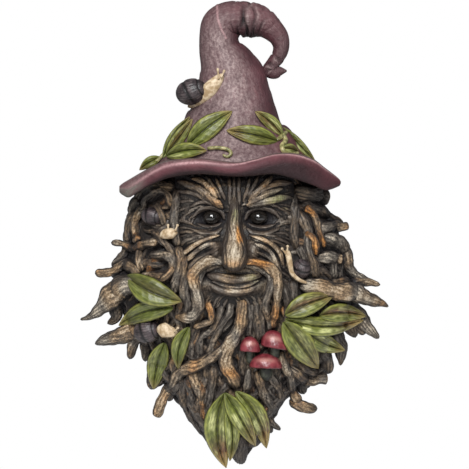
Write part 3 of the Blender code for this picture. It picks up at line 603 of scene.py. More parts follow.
HAIR_RIGHT = (
    (((37, 28), (38.5, 14), (37.5, 2), (40, -10)), (3.4, 3.0), (1, 2), 0.2, 0.4),
    (((38, 27), (48, 26), (60, 24)), (5, 4.6), (5, 3), 0.15, 0.6, "sawn"),
    (((42, 20), (54, 14.5), (64, 9), (70, 6)), (3.6, 2.8), (4, 2), 0.3, 0.6),
    (((53, 3.6), (62, 4.6), (72.8, 5.4)), (4.0, 3.6, 2.6), (8, 6), 0.35, 1.4, "sawn"),
    (((44, 17.5), (50, 14), (53, 7), (54, 0), (57, -9)), (2.8, 2.6), (8, 4), 0.8, 1.0),
    (((45, 2), (50, -3), (51, -9), (52, -14)), (2.4, 2.8), (8, 5), 0.95, 1.2),
    (((52, -15), (59, -14.5), (67.5, -16)), (3.6, 3.4, 3.2), (6, 7), 0.3, 1.5, "sawn"),
    (((40, 16), (46, 4), (47, -8), (51, -20), (52, -29)), (3.2, 3.0), (3, 3), 0.3, 0.6),
    (((55, -1), (63, -4), (69, -11), (72.6, -20), (78, -27), (88, -30.5)),
     (4.6, 5.8, 5.2, 3.6, 2.0), (4, 4, 5, 5, 3, 1), 0.15, 1.2),
    (((58, -10), (63, -20), (62, -30)), (3.2, 3.0), (2, 2), 0.2, 0.8),
    (((66, -14), (67, -22), (67, -31)), (3.0, 3.0), (1, 1), 0.2, 0.7),
    (((60, -31), (74, -31), (85, -31), (94, -32.4)), (2.6, 3.2, 3.0, 0.9), (5, 1), 0.55, 1.3),
    (((41, -32), (55, -34), (68, -36), (79, -38.2), (88, -41.6), (99, -46.4)),
     (4.2, 5.4, 5.9, 5.6, 4.2, 0.8), (6, 6, 9, 15, 11, 4), 0.35, 1.9),
    (((70, -45), (79, -51.6), (85.8, -59.6), (93.2, -67)), (5.6, 5.4, 4.0, 1.2), (-1, 0), 0.3, 1.3),
    (((68, -50), (76, -57), (84.5, -64)), (5.2, 2.6), (0, 0), 0.2, 0.5),
    (((71, -54), (76, -61), (78, -66.5)), (5.8, 1.8), (1, 0), 0.2, 0.5),
    (((40, -6), (43, -12), (47, -20)), (2.6, 2.6), (3, 3), 0.2, 0.5),
)
BEARD_LEFT = (
    (((1, -64), (-9, -75), (-20, -81), (-31, -86), (-40, -95), (-50.6, -116.6)),
     (3.4, 4.2, 4.2, 3.4), (6, 0), 0.4, 1.3, "sawn"),
    (((-27, -86), (-24.5, -95), (-21.5, -106), (-19, -121)), (3.8, 1.8), (4, 1), 0.6, 1.0),
    (((-18, -42), (-14.5, -48), (-15, -54.5), (-20, -57), (-26.5, -60)), (2.6, 2.0), (7, 5), 0.68, 1.2),
    (((-2, -41), (-3, -49), (-8, -57), (-13, -67), (-17, -79)), (2.6, 2.4), (5, 3), 0.1, 0.8),
    (((-8, -41), (-9, -50), (-14, -59), (-21, -66), (-22, -79)), (2.4, 2.6), (3, 3), 0.1, 0.7),
    (((-22, -54), (-26.5, -64), (-28, -73), (-27, -82)), (2.6, 2.4), (2, 2), 0.1, 0.4),
    (((-33, -92), (-32, -106), (-28.5, -117), (-18.5, -129)), (3.6, 2.6), (1, 0), 0.1, 0.4),
    (((-44, -88), (-50, -96), (-55, -97)), (3.4, 2.6), (1, 0), 0.2, 0.6, "sawn"),
    (((-45, -80), (-51, -90), (-54, -100)), (5.0, 4.4), (0, 0), 0.2, 0.5),
    (((-34, -92), (-39.5, -101), (-42.8, -107.5)), (4.2, 2.4), (1, 0), 0.2, 0.5),
    (((-30, -90), (-28, -104), (-24, -117)), (3.2, 2.8), (1, 0), 0.1, 0.4),
    (((-12, -82), (-14.5, -94), (-15, -106), (-17, -120)), (3.4, 3.0), (3, 1), 0.1, 0.45),
    (((-4, -92), (-9, -104), (-12, -116)), (3.2, 3.0), (2, 1), 0.1, 0.4),
)
BEARD_RIGHT = (
    (((5, -40), (4.5, -54), (0, -65), (-4.5, -74), (-4.5, -85), (2, -98)), (3.4, 4.4), (7, 6), 0.45, 1.4),
    (((9, -40), (10.5, -52), (9.5, -66)), (2.5, 2.4), (4, 4), 0.1, 0.6),
    (((13, -40), (14.5, -52), (15, -68)), (2.3, 2.3), (4, 4), 0.1, 0.5),
    (((17, -38), (17.5, -52), (18.5, -66)), (2.3, 2.3), (4, 4), 0.1, 0.5),
    (((31, -30), (33, -44), (32, -58)), (2.8, 2.6), (3, 2), 0.1, 0.4),
    (((37, -28), (38, -42), (42, -56)), (2.8, 2.6), (3, 2), 0.1, 0.4),
    (((6, -64), (4, -78), (5, -92)), (3.0, 3.0), (1, 1), 0.1, 0.4),
    (((9.5, -85), (8.5, -94), (6, -103)), (2.2, 2.8), (6, 4), 0.3, 1.0),
    (((15, -86), (17.5, -97), (20.5, -106), (25, -114)), (3.3, 2.8), (5, 2), 0.25, 0.8),
    (((22, -109), (23.5, -119.8), (29.6, -126.2)), (3.6, 1.2), (2, 0), 0.2, 0.6),
    (((16, -112), (20, -122), (24, -128)), (4.4, 2.4), (0, 0), 0.1, 0.4),
    (((22, -86), (26, -96), (31, -106)), (2.8, 2.4), (4, 2), 0.2, 0.6),
    (((29.5, -74), (32, -84), (36, -94), (39, -104), (42, -110)), (2.6, 3.2), (7, 3), 0.4, 1.3),
    (((36, -106.5), (44, -110.6), (53.5, -112.2)), (4.6, 4.0, 2.3), (3, 0), 0.4, 1.2),
    (((33, -84), (42, -91), (50, -93.5), (59, -93)), (3.4, 3.4), (5, 2), 0.35, 0.9, "sawn"),
    (((38, -81), (46, -86.5), (54, -88), (60, -84)), (3.2, 3.0), (2, 1), 0.2, 0.5),
    (((53, -72), (58.5, -80), (60, -90)), (5.4, 3.8), (2, 0), 0.2, 0.5),
    (((62, -63), (68.5, -72.5), (68.2, -84.5)), (6.2, 4.8, 1.0), (1, 0), 0.2, 0.5),
    (((46, -90), (43, -98), (45, -103)), (4.6, 2.6), (1, 0), 0.2, 0.5),
    (((10, -98), (13, -112), (15, -124)), (3.2, 3.0), (1, 0), 0.1, 0.4),
    (((-2, -112), (3, -130), (4.0, -146.8)), (7.6, 6.6), (0, -2), 0.05, 0.35),
)


def blurred(heights, reach):
    """The same grid, each value the bell-curve mean of its neighbours within the reach, in grid steps."""
    size = int(3 * reach)
    curve = np.exp(-0.5 * (np.arange(-size, size + 1) / reach) ** 2)
    curve /= curve.sum()
    for axis in (0, 1):
        padded = np.pad(heights, [(size, size) if k == axis else (0, 0) for k in (0, 1)], mode="edge")
        heights = np.apply_along_axis(np.convolve, axis, padded, curve, "valid")
    return heights


hair_and_beard = {
    "hair_roots_left": [root(*line) for line in HAIR_LEFT],
    "hair_roots_right": [root(*line) for line in HAIR_RIGHT],
    "beard_roots_left": [root(*line) for line in BEARD_LEFT],
    "beard_roots_right": [root(*line) for line in BEARD_RIGHT],
}
shade_roots = {"under_roots_left": under["left"], "under_roots_right": under["right"], "rim_roots": rim}

# The dark wash and painted shade run into the gaps: a point is darkened by how far it lies behind the
# blurred foremost surface.
WASH_GRID, WASH_REACH = 1.5, 2.4
WASH_LEFT, WASH_LOW = -105, -155
WASH_FREE, WASH_FULL = 0.2, 5.2


def wash_cells(tube):
    """The cells of a coarse grid over the plaque that a root's points lie in."""
    x, _, z = tube["points"].T
    return ((x - WASH_LEFT) / WASH_GRID).astype(int), ((z - WASH_LOW) / WASH_GRID).astype(int)


foremost = np.zeros((140, 220))
every_root = [tube for group in (hair_and_beard, shade_roots) for roots in group.values() for tube in roots]
for tube in every_root:
    np.maximum.at(foremost, wash_cells(tube), -tube["points"][:, 1])
foremost = blurred(foremost, WASH_REACH / WASH_GRID)
for tube in every_root:
    behind = foremost[wash_cells(tube)] + tube["points"][:, 1]
    tube["values"]["sunk"] = rise(behind, WASH_FREE, WASH_FULL)
for group, material in ((hair_and_beard, bark), (shade_roots, shade_bark)):
    for name, roots in group.items():
        piece(name, roots, material)


# The face: carved as a mask of the same root wood. It is a sheet of heights over a fine grid: a domed
# mask with hollows and swellings, and strands laid on it, each the higher of the two with a soft join.

FACE_GRID = 0.34
FACE_BACK = 24.0
SMILE_LOW, SMILE_RISE, SMILE_HALF = -32.2, 4.4, 17.0
SOCKETS = ((-14.6, 10.8), (15.4, 10.8))
STRAND_STEP, STRAND_POINTS = 2.6, 60

# On both sides: the eye socket, the cheek, the nostril and the hollow beside the mouth
FACE_FORMS = (
    ((15.2, 10.4), (9.0, 6.2), -10), ((22, -4), (9, 6), 4.5),
    ((11.5, -10.5), (4.4, 6), 9), ((19, -24), (4, 5), -4),
)


def swelling(across, up, middle, spread, height):
    """A round swelling: the height times the bell curve of both distances. A hollow has a negative height."""
    return height * bell(across, middle[0], spread[0]) * bell(up, middle[1], spread[1])


def mask_depth(across, up):
    """The mask without its strands: a dome that falls to its sides, and bell curves for the sockets,
    cheeks, nostrils and chin, with the lips along a smile, which is a parabola."""
    fall = np.clip(1 - np.abs(across / 40) ** 3, 0, 1) ** 0.8
    depth = 30 + 20 * fall * np.clip(1 - np.abs((up - 2) / 62) ** 4, 0, 1)
    depth = depth + swelling(across, up, (0, 28), (22, 8), 3) + swelling(across, up, (0, -23.5), (13, 4), 3)
    for side in (-1, 1):
        for middle, spread, height in FACE_FORMS:
            depth = depth + swelling(across, up, (side * middle[0], middle[1]), spread, height)
    smile = SMILE_LOW + SMILE_RISE * (across / SMILE_HALF) ** 2
    lips = 3.0 * bell(up, smile + 3.0, 3.0) + 4.2 * bell(up, smile - 4.4, 3.6) - 0.8 * bell(up, smile, 0.8)
    return depth + bell(across, 0, SMILE_HALF, 6) * lips


def face_or_ground(across, up):
    """The higher of the mask and the ground."""
    return np.maximum(mask_depth(across, up), ground_depth(across, up))


# Each strand: its route, the radii along it, the height of its axis over the mask, orange, light
FACE_STRANDS = [
    (((-36, 34), (-28, 31), (-21, 28.0), (-14, 22)), (2.2, 3.8), 0.7, 0.35, 0.6),
    (((-20, 26.5), (-14, 22.0), (-8, 17.0)), (2.2, 3.4), 1.1, 0.55, 0.85),
    (((-35, 27), (-27, 26.5), (-20, 23), (-12, 19.5)), (1.6, 2.0), 0.6, 0.2, 0.45),
    (((-27, 35.5), (-21, 34), (-16, 29.5), (-11.5, 23.5)), (1.8, 3.2), 1.3, 0.45, 0.85),
    (((-18, 37), (-14, 31), (-9, 23)), (1.4, 1.8), 0.9, 0.3, 0.6),
    (((-12, 36), (-9.5, 30), (-6, 22)), (1.2, 1.6), 0.6, 0.3, 0.45),
    (((36, 33), (28, 32.5), (20, 29), (14, 24)), (2.2, 3.4), 0.8, 0.3, 0.5),
    (((35, 24), (28, 22.8), (21, 20.8), (10, 17.4)), (2.4, 3.4), 1.2, 0.25, 0.8),
    (((30, 29), (22, 26.5), (15, 22.4), (8.5, 18.5)), (2.2, 3.2), 1.2, 0.4, 0.7),
    (((24, 37), (20.5, 33), (15, 27.5), (9.5, 21.5)), (1.8, 3.0), 1.3, 0.5, 0.8),
    (((15, 37), (12.5, 31), (8.5, 23)), (1.4, 1.9), 0.8, 0.3, 0.5),
    (((9.5, 36), (8.5, 29), (5.5, 21)), (1.2, 1.6), 0.6, 0.3, 0.4),
    (((-3.4, 37), (-2.9, 28), (-3.2, 19)), (1.4, 1.5), 0.6, 0.2, 0.35),
    (((3.0, 37), (2.6, 28), (3.2, 19)), (1.4, 1.5), 0.6, 0.2, 0.35),
    (((-0.4, 37), (-0.2, 29), (-0.3, 21)), (1.1, 1.2), 0.8, 0.2, 0.35),
    (((-27, 10.5), (-21.8, 15.2), (-14.6, 16.6), (-8.4, 13.8), (-6.6, 10)),
     (1.2, 1.8, 1.4, 1.8), 1.3, 0.15, 0.2),
    (((-28, 17.5), (-20, 20.6), (-11, 17.8)), (1.2, 1.5), 0.9, 0.15, 0.35),
    (((-24, 7.0), (-18, 5.4), (-12, 5.8), (-8, 7.6)), (0.8, 1.3, 0.8), 1.2, 0.15, 0.25),
    (((-28, 3.6), (-20, 1.2), (-12, 1.4), (-8, 4.0)), (1.2, 1.5), 1.1, 0.2, 0.5),
    (((29, 10.5), (23.5, 15.0), (15.6, 16.4), (9.2, 13.6), (7.0, 9.6)),
     (1.2, 1.7, 1.4, 1.8), 1.3, 0.15, 0.2),
    (((28, 17.5), (20, 19.4), (12, 17)), (1.2, 1.4), 0.8, 0.15, 0.35),
    (((26, 6.4), (20, 5.0), (13, 5.4), (8.6, 7.2)), (0.8, 1.3, 0.8), 1.2, 0.15, 0.25),
    (((28, 3.2), (20, 1.0), (12, 1.2), (8, 3.8)), (1.2, 1.5), 1.1, 0.2, 0.5),
    (((-9.5, -0.5), (-16, -2.0), (-24, -6), (-31, -11), (-37, -15)), (1.3, 2.2), 1.4, 0.4, 1.2),
    (((-12, -5), (-18, -6.8), (-25, -11.5), (-32, -18)), (1.4, 2.2), 1.3, 0.25, 1.1),
    (((9.5, -0.5), (17, -2.6), (24, -6.5), (29, -12), (31, -19)), (1.3, 2.2), 1.4, 0.5, 0.9),
    (((13, -5.5), (19, -8.5), (24, -13), (28.5, -21)), (1.4, 2.2), 1.2, 0.25, 0.8),
    (((-15, -11.5), (-21, -14), (-28, -20), (-31, -30)), (1.6, 2.2), 0.8, 0.2, 0.6),
    (((15, -11.5), (21, -14), (27, -20), (30, -30)), (1.6, 2.2), 0.8, 0.2, 0.6),
    (((-19, -25.2), (-12, -27.4), (-4, -28.9), (4, -29.0), (12, -27.6), (20, -24.8)),
     (1.8, 4.4, 4.7, 4.0, 1.5), -0.2, 0.3, 0.6),
    (((-16.5, -31.0), (-10, -34.6), (-1, -36.3), (8, -35.6), (15, -32.2)),
     (2.0, 4.0, 3.4, 1.4), -0.2, 0.2, 0.5),
    (((-14, -29.8), (-6, -32.0), (2, -32.7), (10, -31.4), (16, -28.8)),
     (0.9, 1.8, 1.6, 0.8), 1.8, 0.25, 0.55),
]


def face_grain(across, up):
    """The way the wood runs over the face: a fan over the brows, rings round the eyes, slanting down the
    cheeks, across the lips and down the chin. Each has its own bell-curve share."""
    x = abs(across)
    round_eye = (1.9 * abs(up - 9.3) + 2, (16.5 - x) * (1 if up > 9.3 else -1))
    flows = (
        ((x - 3, up - 13), 1.5 / (1 + math.exp(-(up - 20) / 2.5))),
        (round_eye, 2.2 * bell(x, 17, 11) * bell(up, 8, 8.5)),
        ((1.0, -0.62), 0.5),
        ((x / 9 + 0.6, 0.1), 2.0 * bell(x, 0, 13, 4) * bell(up, -32, 6)),
        ((0.15, -1.0), 2.0 / (1 + math.exp((up + 41) / 2))),
    )
    total = np.zeros(2)
    for flow, share in flows:
        total += share * np.array(flow) / (math.hypot(*flow) + 1e-6) * (1 if flow[0] >= 0 else -1)
    total /= np.linalg.norm(total) + 1e-6
    return (1 if across > 0 else -1) * total[0], total[1]


dice = np.random.default_rng(3)
for row_up in np.arange(37, -45, -3.3):
    for across in np.arange(-35.5, 36, 5.2):
        x, z = across + dice.uniform(-1.6, 1.6), row_up + dice.uniform(-1.2, 1.2)
        on_nose = abs(x) < 8.5 and -23 < z < 17
        on_lips = abs(x) < 21 and -38 < z < -22
        if on_nose or on_lips or (z > 19 and dice.random() < 0.7):
            continue
        if min(math.hypot((x - a) / 9, (z - b) / 5.5) for a, b in SOCKETS) < 1:
            continue
        route = [(x, z)]
        for step in range(dice.integers(3, 6)):
            right, climb = face_grain(*route[-1])
            route.append((route[-1][0] + STRAND_STEP * right, route[-1][1] + STRAND_STEP * climb))
        thin = dice.uniform(0.7, 1.3)
        lift, orange, bright = dice.uniform(0.1, 0.6), dice.uniform(0.05, 0.4), dice.uniform(0.2, 0.75)
        FACE_STRANDS.append((route, (thin, 0.7 * thin), lift, orange, bright))


across, up = np.meshgrid(np.arange(-38, 38.01, FACE_GRID), np.arange(40, -47.01, -FACE_GRID))
mask = mask_depth(across, up)
face = mask.copy()
hue, light = np.full_like(face, 0.25), np.full_like(face, 0.55)
for number, (route, thickness, lift, orange, bright) in enumerate(FACE_STRANDS):
    line = smooth_route(np.column_stack([route, spread_over(thickness, len(route))]), STRAND_POINTS)
    low, high = line[:, :2].min(0) - 4, line[:, :2].max(0) + 4
    near = (across > low[0]) & (across < high[0]) & (up > low[1]) & (up < high[1])
    x, z = across[near], up[near]
    gap = np.hypot(x[:, None] - line[None, :, 0], z[:, None] - line[None, :, 1])
    closest = gap.argmin(axis=1)
    ahead = np.gradient(line[:, :2], axis=0)
    ahead /= np.linalg.norm(ahead, axis=1, keepdims=True)
    offset = (x - line[closest, 0]) * -ahead[closest, 1] + (z - line[closest, 1]) * ahead[closest, 0]
    from_ends = np.minimum(closest + 2, STRAND_POINTS + 1 - closest)
    radius = line[closest, 2] * np.sqrt(np.clip(from_ends / 14, 0.1, 1))
    share = np.clip(gap.min(axis=1) / radius, 0, 1)
    lanes = 1.3 + 1.3 * radius.mean()
    turned = np.arcsin(np.clip(offset / radius, -1, 1))
    grooves = np.abs(np.sin(lanes * turned + 0.12 * closest + number)) ** 0.7
    strand = mask[near] + lift + radius * (1.1 * np.sqrt(1 - share**2) - 0.4) + 0.45 * (grooves - 0.6)
    join = np.where(share < 1, np.clip(0.5 + (strand - face[near]) / 0.8, 0, 1), 0)
    hue[near] += (orange - hue[near]) * join
    light[near] += (bright - light[near]) * join
    face[near] += (strand - face[near]) * join + 0.2 * join * (1 - join)
wrinkle = np.abs(np.sin(across * 2.6 + 1.6 * np.sin(up * 0.31) + 0.8 * np.sin(across * 0.5 + up * 0.8))) ** 0.7
face = face + 0.3 * wrinkle * (0.6 + 0.4 * np.sin(up * 0.9 + across * 0.4))
dice = np.random.default_rng(5)
face = face + 0.36 * blurred(dice.normal(size=face.shape), 1.2)
patches = 12 * blurred(dice.normal(size=face.shape), 7)
fine_relief = face - blurred(face, 1.2 / FACE_GRID)
broad_relief = face - blurred(face, 4.5 / FACE_GRID)
# Painted highlight on the lips: more brushed paint and less of the painted shade.
lips = swelling(across, up, (0, -31), (18, 8.5), 1.0)
relief = np.clip(0.56 + 0.72 * fine_relief + 0.15 * broad_relief, 0, 1)
relief = np.clip(relief + 0.22 * lips, 0, 1)
light = light * np.clip(0.85 + 0.30 * broad_relief, 0.15, 1.35) * np.clip(0.95 + 0.7 * patches, 0.15, 1.5)
light = light * (1 + 0.2 * lips)
hue = np.clip(hue + 0.2 * np.roll(patches, 30, axis=0), 0, 1)
# Wash and painted shade in the hollows, a painted shadow under the brim at the top of the face, less on the
# lips, and more painted shade in the eye sockets.
sunk = -0.36 * fine_relief - 0.22 * broad_relief + 0.9 * rise(up, 31, 36) - 0.6 * lips
for middle in SOCKETS:
    sunk = sunk + swelling(across, up, middle, (10.5, 7), 0.8)
front = np.stack([across, -face, up], axis=-1)
back = np.stack([across, np.full_like(face, -FACE_BACK), up], axis=-1)[:, ::-1][:, ::4]


def both(field, rear=0.3):
    """A front field with a plain value behind it."""
    return np.concatenate([field, np.full((len(field), back.shape[1]), rear)], axis=1)


face_solid = solid(
    np.concatenate([front, back], axis=1),
    relief=both(relief),
    hue=both(hue),
    light=both(light),
    saw=0.0,
    sunk=both(np.clip(sunk, 0, 1)),
    along=both(up),
    round=both(across),
    moss=both(swelling(across, up, (29, 21), (7, 5), 0.9) + swelling(across, up, (12, -28), (5, 4), 0.5), 0.0),
)
piece("face", [face_solid], bark)


# The moustache: thick pale roots that leave the nose's wings, turn round the mouth and hang into the
# beard, the lightest and most orange of them all.

MOUSTACHE = (
    (((-3, -17), (-11, -16.6), (-19, -18.6), (-25.8, -25), (-24.6, -36), (-23, -46), (-28, -52.4),
      (-38.5, -53)),
     (2.6, 3.6, 4.3, 4.0, 3.0), (1.5, 3.5, 4.5, 3.5), 0.35, 1.5),
    (((-5, -19.5), (-13, -20), (-20, -23), (-22.5, -31), (-21, -42)),
     (1.6, 2.2, 2.0), (0.8, 1.6, 2.0), 0.2, 0.8),
    (((4, -18), (13, -17.6), (21, -19.8), (26.8, -27), (27.4, -38), (25.5, -49), (24.5, -60)),
     (2.4, 3.6, 3.9, 3.2, 2.6), (1.5, 3.5, 4, 4), 0.6, 1.35),
    (((5, -20), (13, -20.5), (20, -24), (22.5, -32), (20.5, -42), (20.5, -51), (22.5, -61)),
     (1.6, 2.4, 2.6, 2.2), (0.8, 2.5, 4.5, 4), 0.15, 1.0),
    (((-27, -24), (-30.5, -34), (-30, -45), (-32, -56)), (2.2, 2.6, 2.0), (3.5, 2.5), 0.15, 0.6),
)
piece("moustache", [root(*line, over=face_or_ground) for line in MOUSTACHE], bark)


# The nose: long and straight with a round tip, its grain running down it, with a painted highlight,
# nearly white, down the ridge, brushed orange on one side, and painted shade on the right side.

# Each station: its height up the plaque, half its width, and how far its ridge stands off the wall
NOSE_STATIONS = np.array(
    [
        (27, 2.2, 51), (21, 3.6, 55.5), (13, 4.2, 59), (5, 5.2, 62), (-3, 6.9, 65.5),
        (-10, 8.0, 69.2), (-16, 8.1, 70.2), (-20.4, 6.6, 68.6), (-23.2, 2.8, 63),
    ],
    float,
)
NOSE_RINGS, NOSE_AROUND = 130, 90
NOSE_HALF_DEPTH = 14

turn = full_turn(NOSE_AROUND, -math.pi)
up, half, front = smooth_route(NOSE_STATIONS, NOSE_RINGS).T[..., None]
streak = np.abs(np.sin(6.5 * turn + 1.6 * np.sin(up / 6.5) + 0.9 * np.sin(up / 2.9 + 2 * turn))) ** 0.6
cuts = np.abs(np.sin(15.0 * turn + 2.2 * np.sin(up / 4.1 + turn))) ** 0.5
bulk = 1 + 0.05 * (streak - 0.6) + 0.02 * cuts + 0.03 * np.sin(up / 2.3 + 2 * turn)
depth = front + NOSE_HALF_DEPTH * (np.cos(turn) * bulk - 1)
# Painted highlight down the front ridge.
ridge = bell(turn, -0.25, 0.9)
orange_patch = bell(turn, 0.62, 0.45, 4) * bell(up, 0, 5.5)
bright = 1.15 + 0.95 * ridge * bell(up, -8, 14) + 0.8 * orange_patch
nose = solid(
    np.stack([half * np.sin(turn) * bulk, -depth, up + 0 * turn], axis=-1),
    relief=0.08 + 0.42 * streak + 0.30 * cuts + 0.12 * ridge,
    hue=np.clip(0.30 + orange_patch + 0.35 * bell(up, -19, 4), 0, 1),
    # Darker towards the top, and painted shade on the right side.
    light=bright * (1 - 0.5 * rise(up, 8, 17)) * (1 - 0.45 * rise(turn, 0.9, 1.5)),
    saw=0.0,
    sunk=0.0,
    moss=0.7 * bell(up, 14, 5),
    along=up,
    round=turn * 6,
)
piece("nose", [nose], bark)


# The eyes: smooth dark balls under the lids, lacquered so that they shine. Each is an egg shape of rings
# from bottom to top, a little darker at the iris.

EYES_ACROSS, EYE_DEPTH, EYE_UP = (-14.3, 15.2), 42.8, 10.9
EYE_HALF_WIDTH, EYE_HALF_DEPTH, EYE_HALF_HEIGHT = 5.9, 6.0, 4.6
EYE_RINGS, EYE_AROUND = 24, 48
IRIS_UP, IRIS_REACH = 11.0, 5.6

eye_material, wires = new_material("eye_gloss", 0.08, Coat_Weight=1.0, Coat_Roughness=0.03)
iris = wires.ramp(wires.field("iris"), 0.4, 0.6)
wires.paint(wires.mix(iris, (0.014, 0.011, 0.009), (0.004, 0.003, 0.002)))

eyes = []
tilt = np.linspace(0.05 - math.pi / 2, math.pi / 2 - 0.05, EYE_RINGS)[:, None]
turn = full_turn(EYE_AROUND)
for across in EYES_ACROSS:
    x = across + EYE_HALF_WIDTH * np.cos(tilt) * np.sin(turn)
    y = -EYE_DEPTH - EYE_HALF_DEPTH * np.cos(tilt) * np.cos(turn)
    z = EYE_UP + EYE_HALF_HEIGHT * np.sin(tilt) + 0 * turn
    eyes.append(solid(np.stack([x, y, z], axis=-1), iris=1 - np.hypot(x - across, z - IRIS_UP) / IRIS_REACH))
piece("eyes", eyes, eye_material)


# The hat: a tall soft cone that bends over at the top and curls up at its tip. It is stippled like felt,
# creased on the inside of the bend with painted shade in the creases and under the bend, and dry-brushed
# pinkish grey over dusty purple, which is partly a painted highlight down its middle and on its left side.

# Each station: its place across and up, half its width, half its depth, and how far its core is off the wall
HAT_STATIONS = np.array(
    [
        (0, 41, 53.4, 39.6, 12.5), (0, 44, 52, 39, 12.6), (0, 50, 47.5, 37, 13),
        (-0.5, 60, 39, 32, 13), (-1.3, 70, 32.5, 27, 13), (-0.8, 80, 28.2, 24, 13),
        (-1.4, 90, 25.2, 21, 13), (-2.2, 100, 22.4, 19, 13), (-5.2, 110, 18.2, 17, 13),
        (-9.2, 119.5, 13.4, 15, 13), (-10.0, 128, 12.6, 14, 13), (-8.2, 134.2, 13.1, 13.4, 13),
        (-3, 138, 12.2, 12.4, 13), (5, 138.6, 11.6, 11.4, 13), (13.5, 137.6, 11.2, 10.6, 13),
        (19.5, 135.4, 9.4, 9.6, 13), (24.2, 131.8, 7.6, 8.4, 13), (28.4, 126.8, 6.5, 7.2, 13),
        (29.9, 120.6, 5.2, 6.2, 13), (28.2, 114.6, 4.6, 5.6, 13), (24.8, 110.0, 4.3, 5, 13),
        (22.9, 106.0, 4.8, 4.8, 13), (25.6, 104.2, 4.2, 4.2, 13), (29.0, 105.0, 3.2, 3.2, 13),
        (33.6, 105.2, 0.6, 0.9, 13),
    ],
    float,
)
HAT_RINGS, HAT_AROUND = 420, 110

# Each fold of the bend: its place among the stations, its width, its depth, and how much it keeps inside
HAT_FOLDS = (
    (11.3, 0.07, 0.7, 1), (11.75, 0.06, 0.8, 1), (12.15, 0.07, 0.9, 0.9), (12.5, 0.06, 0.6, 0.6),
    (12.95, 0.12, 1.3, 0.2), (13.35, 0.07, 0.9, 0.2), (13.8, 0.08, 0.9, 0.2), (14.25, 0.06, 0.5, 0.4),
    (14.9, 0.08, 0.6, 0.2), (15.7, 0.08, 0.4, 0.5), (19.2, 0.12, 0.6, 0), (20.4, 0.16, 0.8, 0),
    (21.2, 0.1, 0.6, 0),
)

hat_felt, wires = new_material(
    "hat_paint", 0.5, Coat_Weight=0.08, Coat_Roughness=0.3, Specular_IOR_Level=0.3
)
lengthwise = wires.vector(wires.field("round"), wires.times(wires.field("along"), 0.22))
streaks = wires.noise(0.55, 5.0, 0.7, lengthwise)
mottle = wires.ramp(wires.noise(55.0, 4.0), 0.3, 0.7)
speckle = wires.noise(520.0, 3.0, 0.75)
plum = wires.mix(mottle, (0.052, 0.024, 0.029), (0.105, 0.050, 0.058))
wine = wires.mix(mottle, (0.110, 0.033, 0.042), (0.225, 0.070, 0.085))
reddened = wires.math("ADD", wires.field("wine"), wires.ramp(streaks, 0.5, 0.7, 0.0, 0.5))
felt = wires.mix(reddened, plum, wine)
felt = wires.mix(wires.ramp(wires.noise(28.0), 0.42, 0.62, 0.0, 0.45), felt, (0.030, 0.013, 0.018))
patchy = wires.times(wires.ramp(streaks, 0.32, 0.68, 0.40, 0.97), wires.ramp(speckle, 0.34, 0.7, 0.32, 1.28))
# Dry-brushed pinkish grey, partly a painted highlight.
felt = wires.mix(wires.times(patchy, wires.field("brush")), felt, (0.41, 0.31, 0.30))
greyed = wires.times(wires.field("grey"), wires.ramp(streaks, 0.3, 0.6, 0.3, 1.0))
felt = wires.mix(greyed, felt, (0.21, 0.205, 0.175))
# Painted shade: near black in the folds, under the bend, behind the curled tip and down the brim's lower face.
felt = wires.mix(wires.field("crease"), felt, (0.012, 0.008, 0.009))
# Painted highlight: the pink line along the brim's roll and down the hat's seam.
pinked = wires.times(wires.field("lip"), wires.ramp(speckle, 0.25, 0.6, 0.5, 1.1))
felt = wires.mix(pinked, felt, (0.62, 0.37, 0.38))
wires.paint(wires.group("bare_back", Paint=felt)[0])
wires.put(wires.shader.inputs["Roughness"], wires.ramp(speckle, 0.3, 0.7, 0.40, 0.6))
wires.bump(wires.math("ADD", speckle, wires.times(streaks, 1.2)), 0.0008)

spine = smooth_route(HAT_STATIONS, HAT_RINGS)
heading = np.gradient(spine[:, :2], axis=0)
heading /= np.linalg.norm(heading, axis=1, keepdims=True)
across, up, half_width, half_depth, core = spine.T[..., None]
turn = full_turn(HAT_AROUND)
at = np.linspace(0, len(HAT_STATIONS) - 1, HAT_RINGS)[:, None]
inside = np.clip(np.cos(turn), 0, 1)
crease, puckers = 0.0, 0.0
for spot, wide, deep, inward in HAT_FOLDS:
    waves = 0.16 * np.sin(2.3 * turn + 9 * spot) + 0.06 * np.sin(5 * turn + 4 * spot)
    off_fold = (at - spot - waves) / 1.5
    cut = deep * (0.55 + 0.45 * np.sin(3 * turn + 7 * spot)) * (1 - inward + inward * inside)
    crease = crease + cut * bell(off_fold, 0, wide)
    puckers = puckers + cut * bell(off_fold, 1.7 * wide, wide)
bend_shade = bell(at, 13.9, 1.8) * np.clip((np.cos(turn) + 0.1) / 1.1, 0, 1) ** 0.6
lumps = 0.012 * np.sin(up / 5 + 3 * turn) + 0.010 * np.sin(up / 9 - 2 * turn + 1)
lumps = lumps + 0.008 * np.sin(up / 2.3 + 4 * turn)


def hat_surface(width):
    """The places across and up of the cone's surface: its half width to both sides of the spine's run."""
    return across + heading[:, 1:] * width * np.cos(turn), up - heading[:, :1] * width * np.cos(turn)


x, z = hat_surface(half_width)
seam = bell(x, np.interp(z, [126, 131, 138, 149.5], [-5.5, -8.3, -10.7, -11.5]), 0.55)
seam = seam * (np.sin(turn) > 0) * (at > 9.5) * (at < 13) * (z > 125)
raised = 0.5 * puckers + 0.4 * seam - 1.5 * crease
x, z = hat_surface(half_width * (1 + lumps) + raised)
depth = core + (half_depth * (1 + lumps) + raised) * np.sin(turn)
front_share = np.clip(np.sin(turn), 0, 1)
upper = rise(at, 9.5, 12.5)
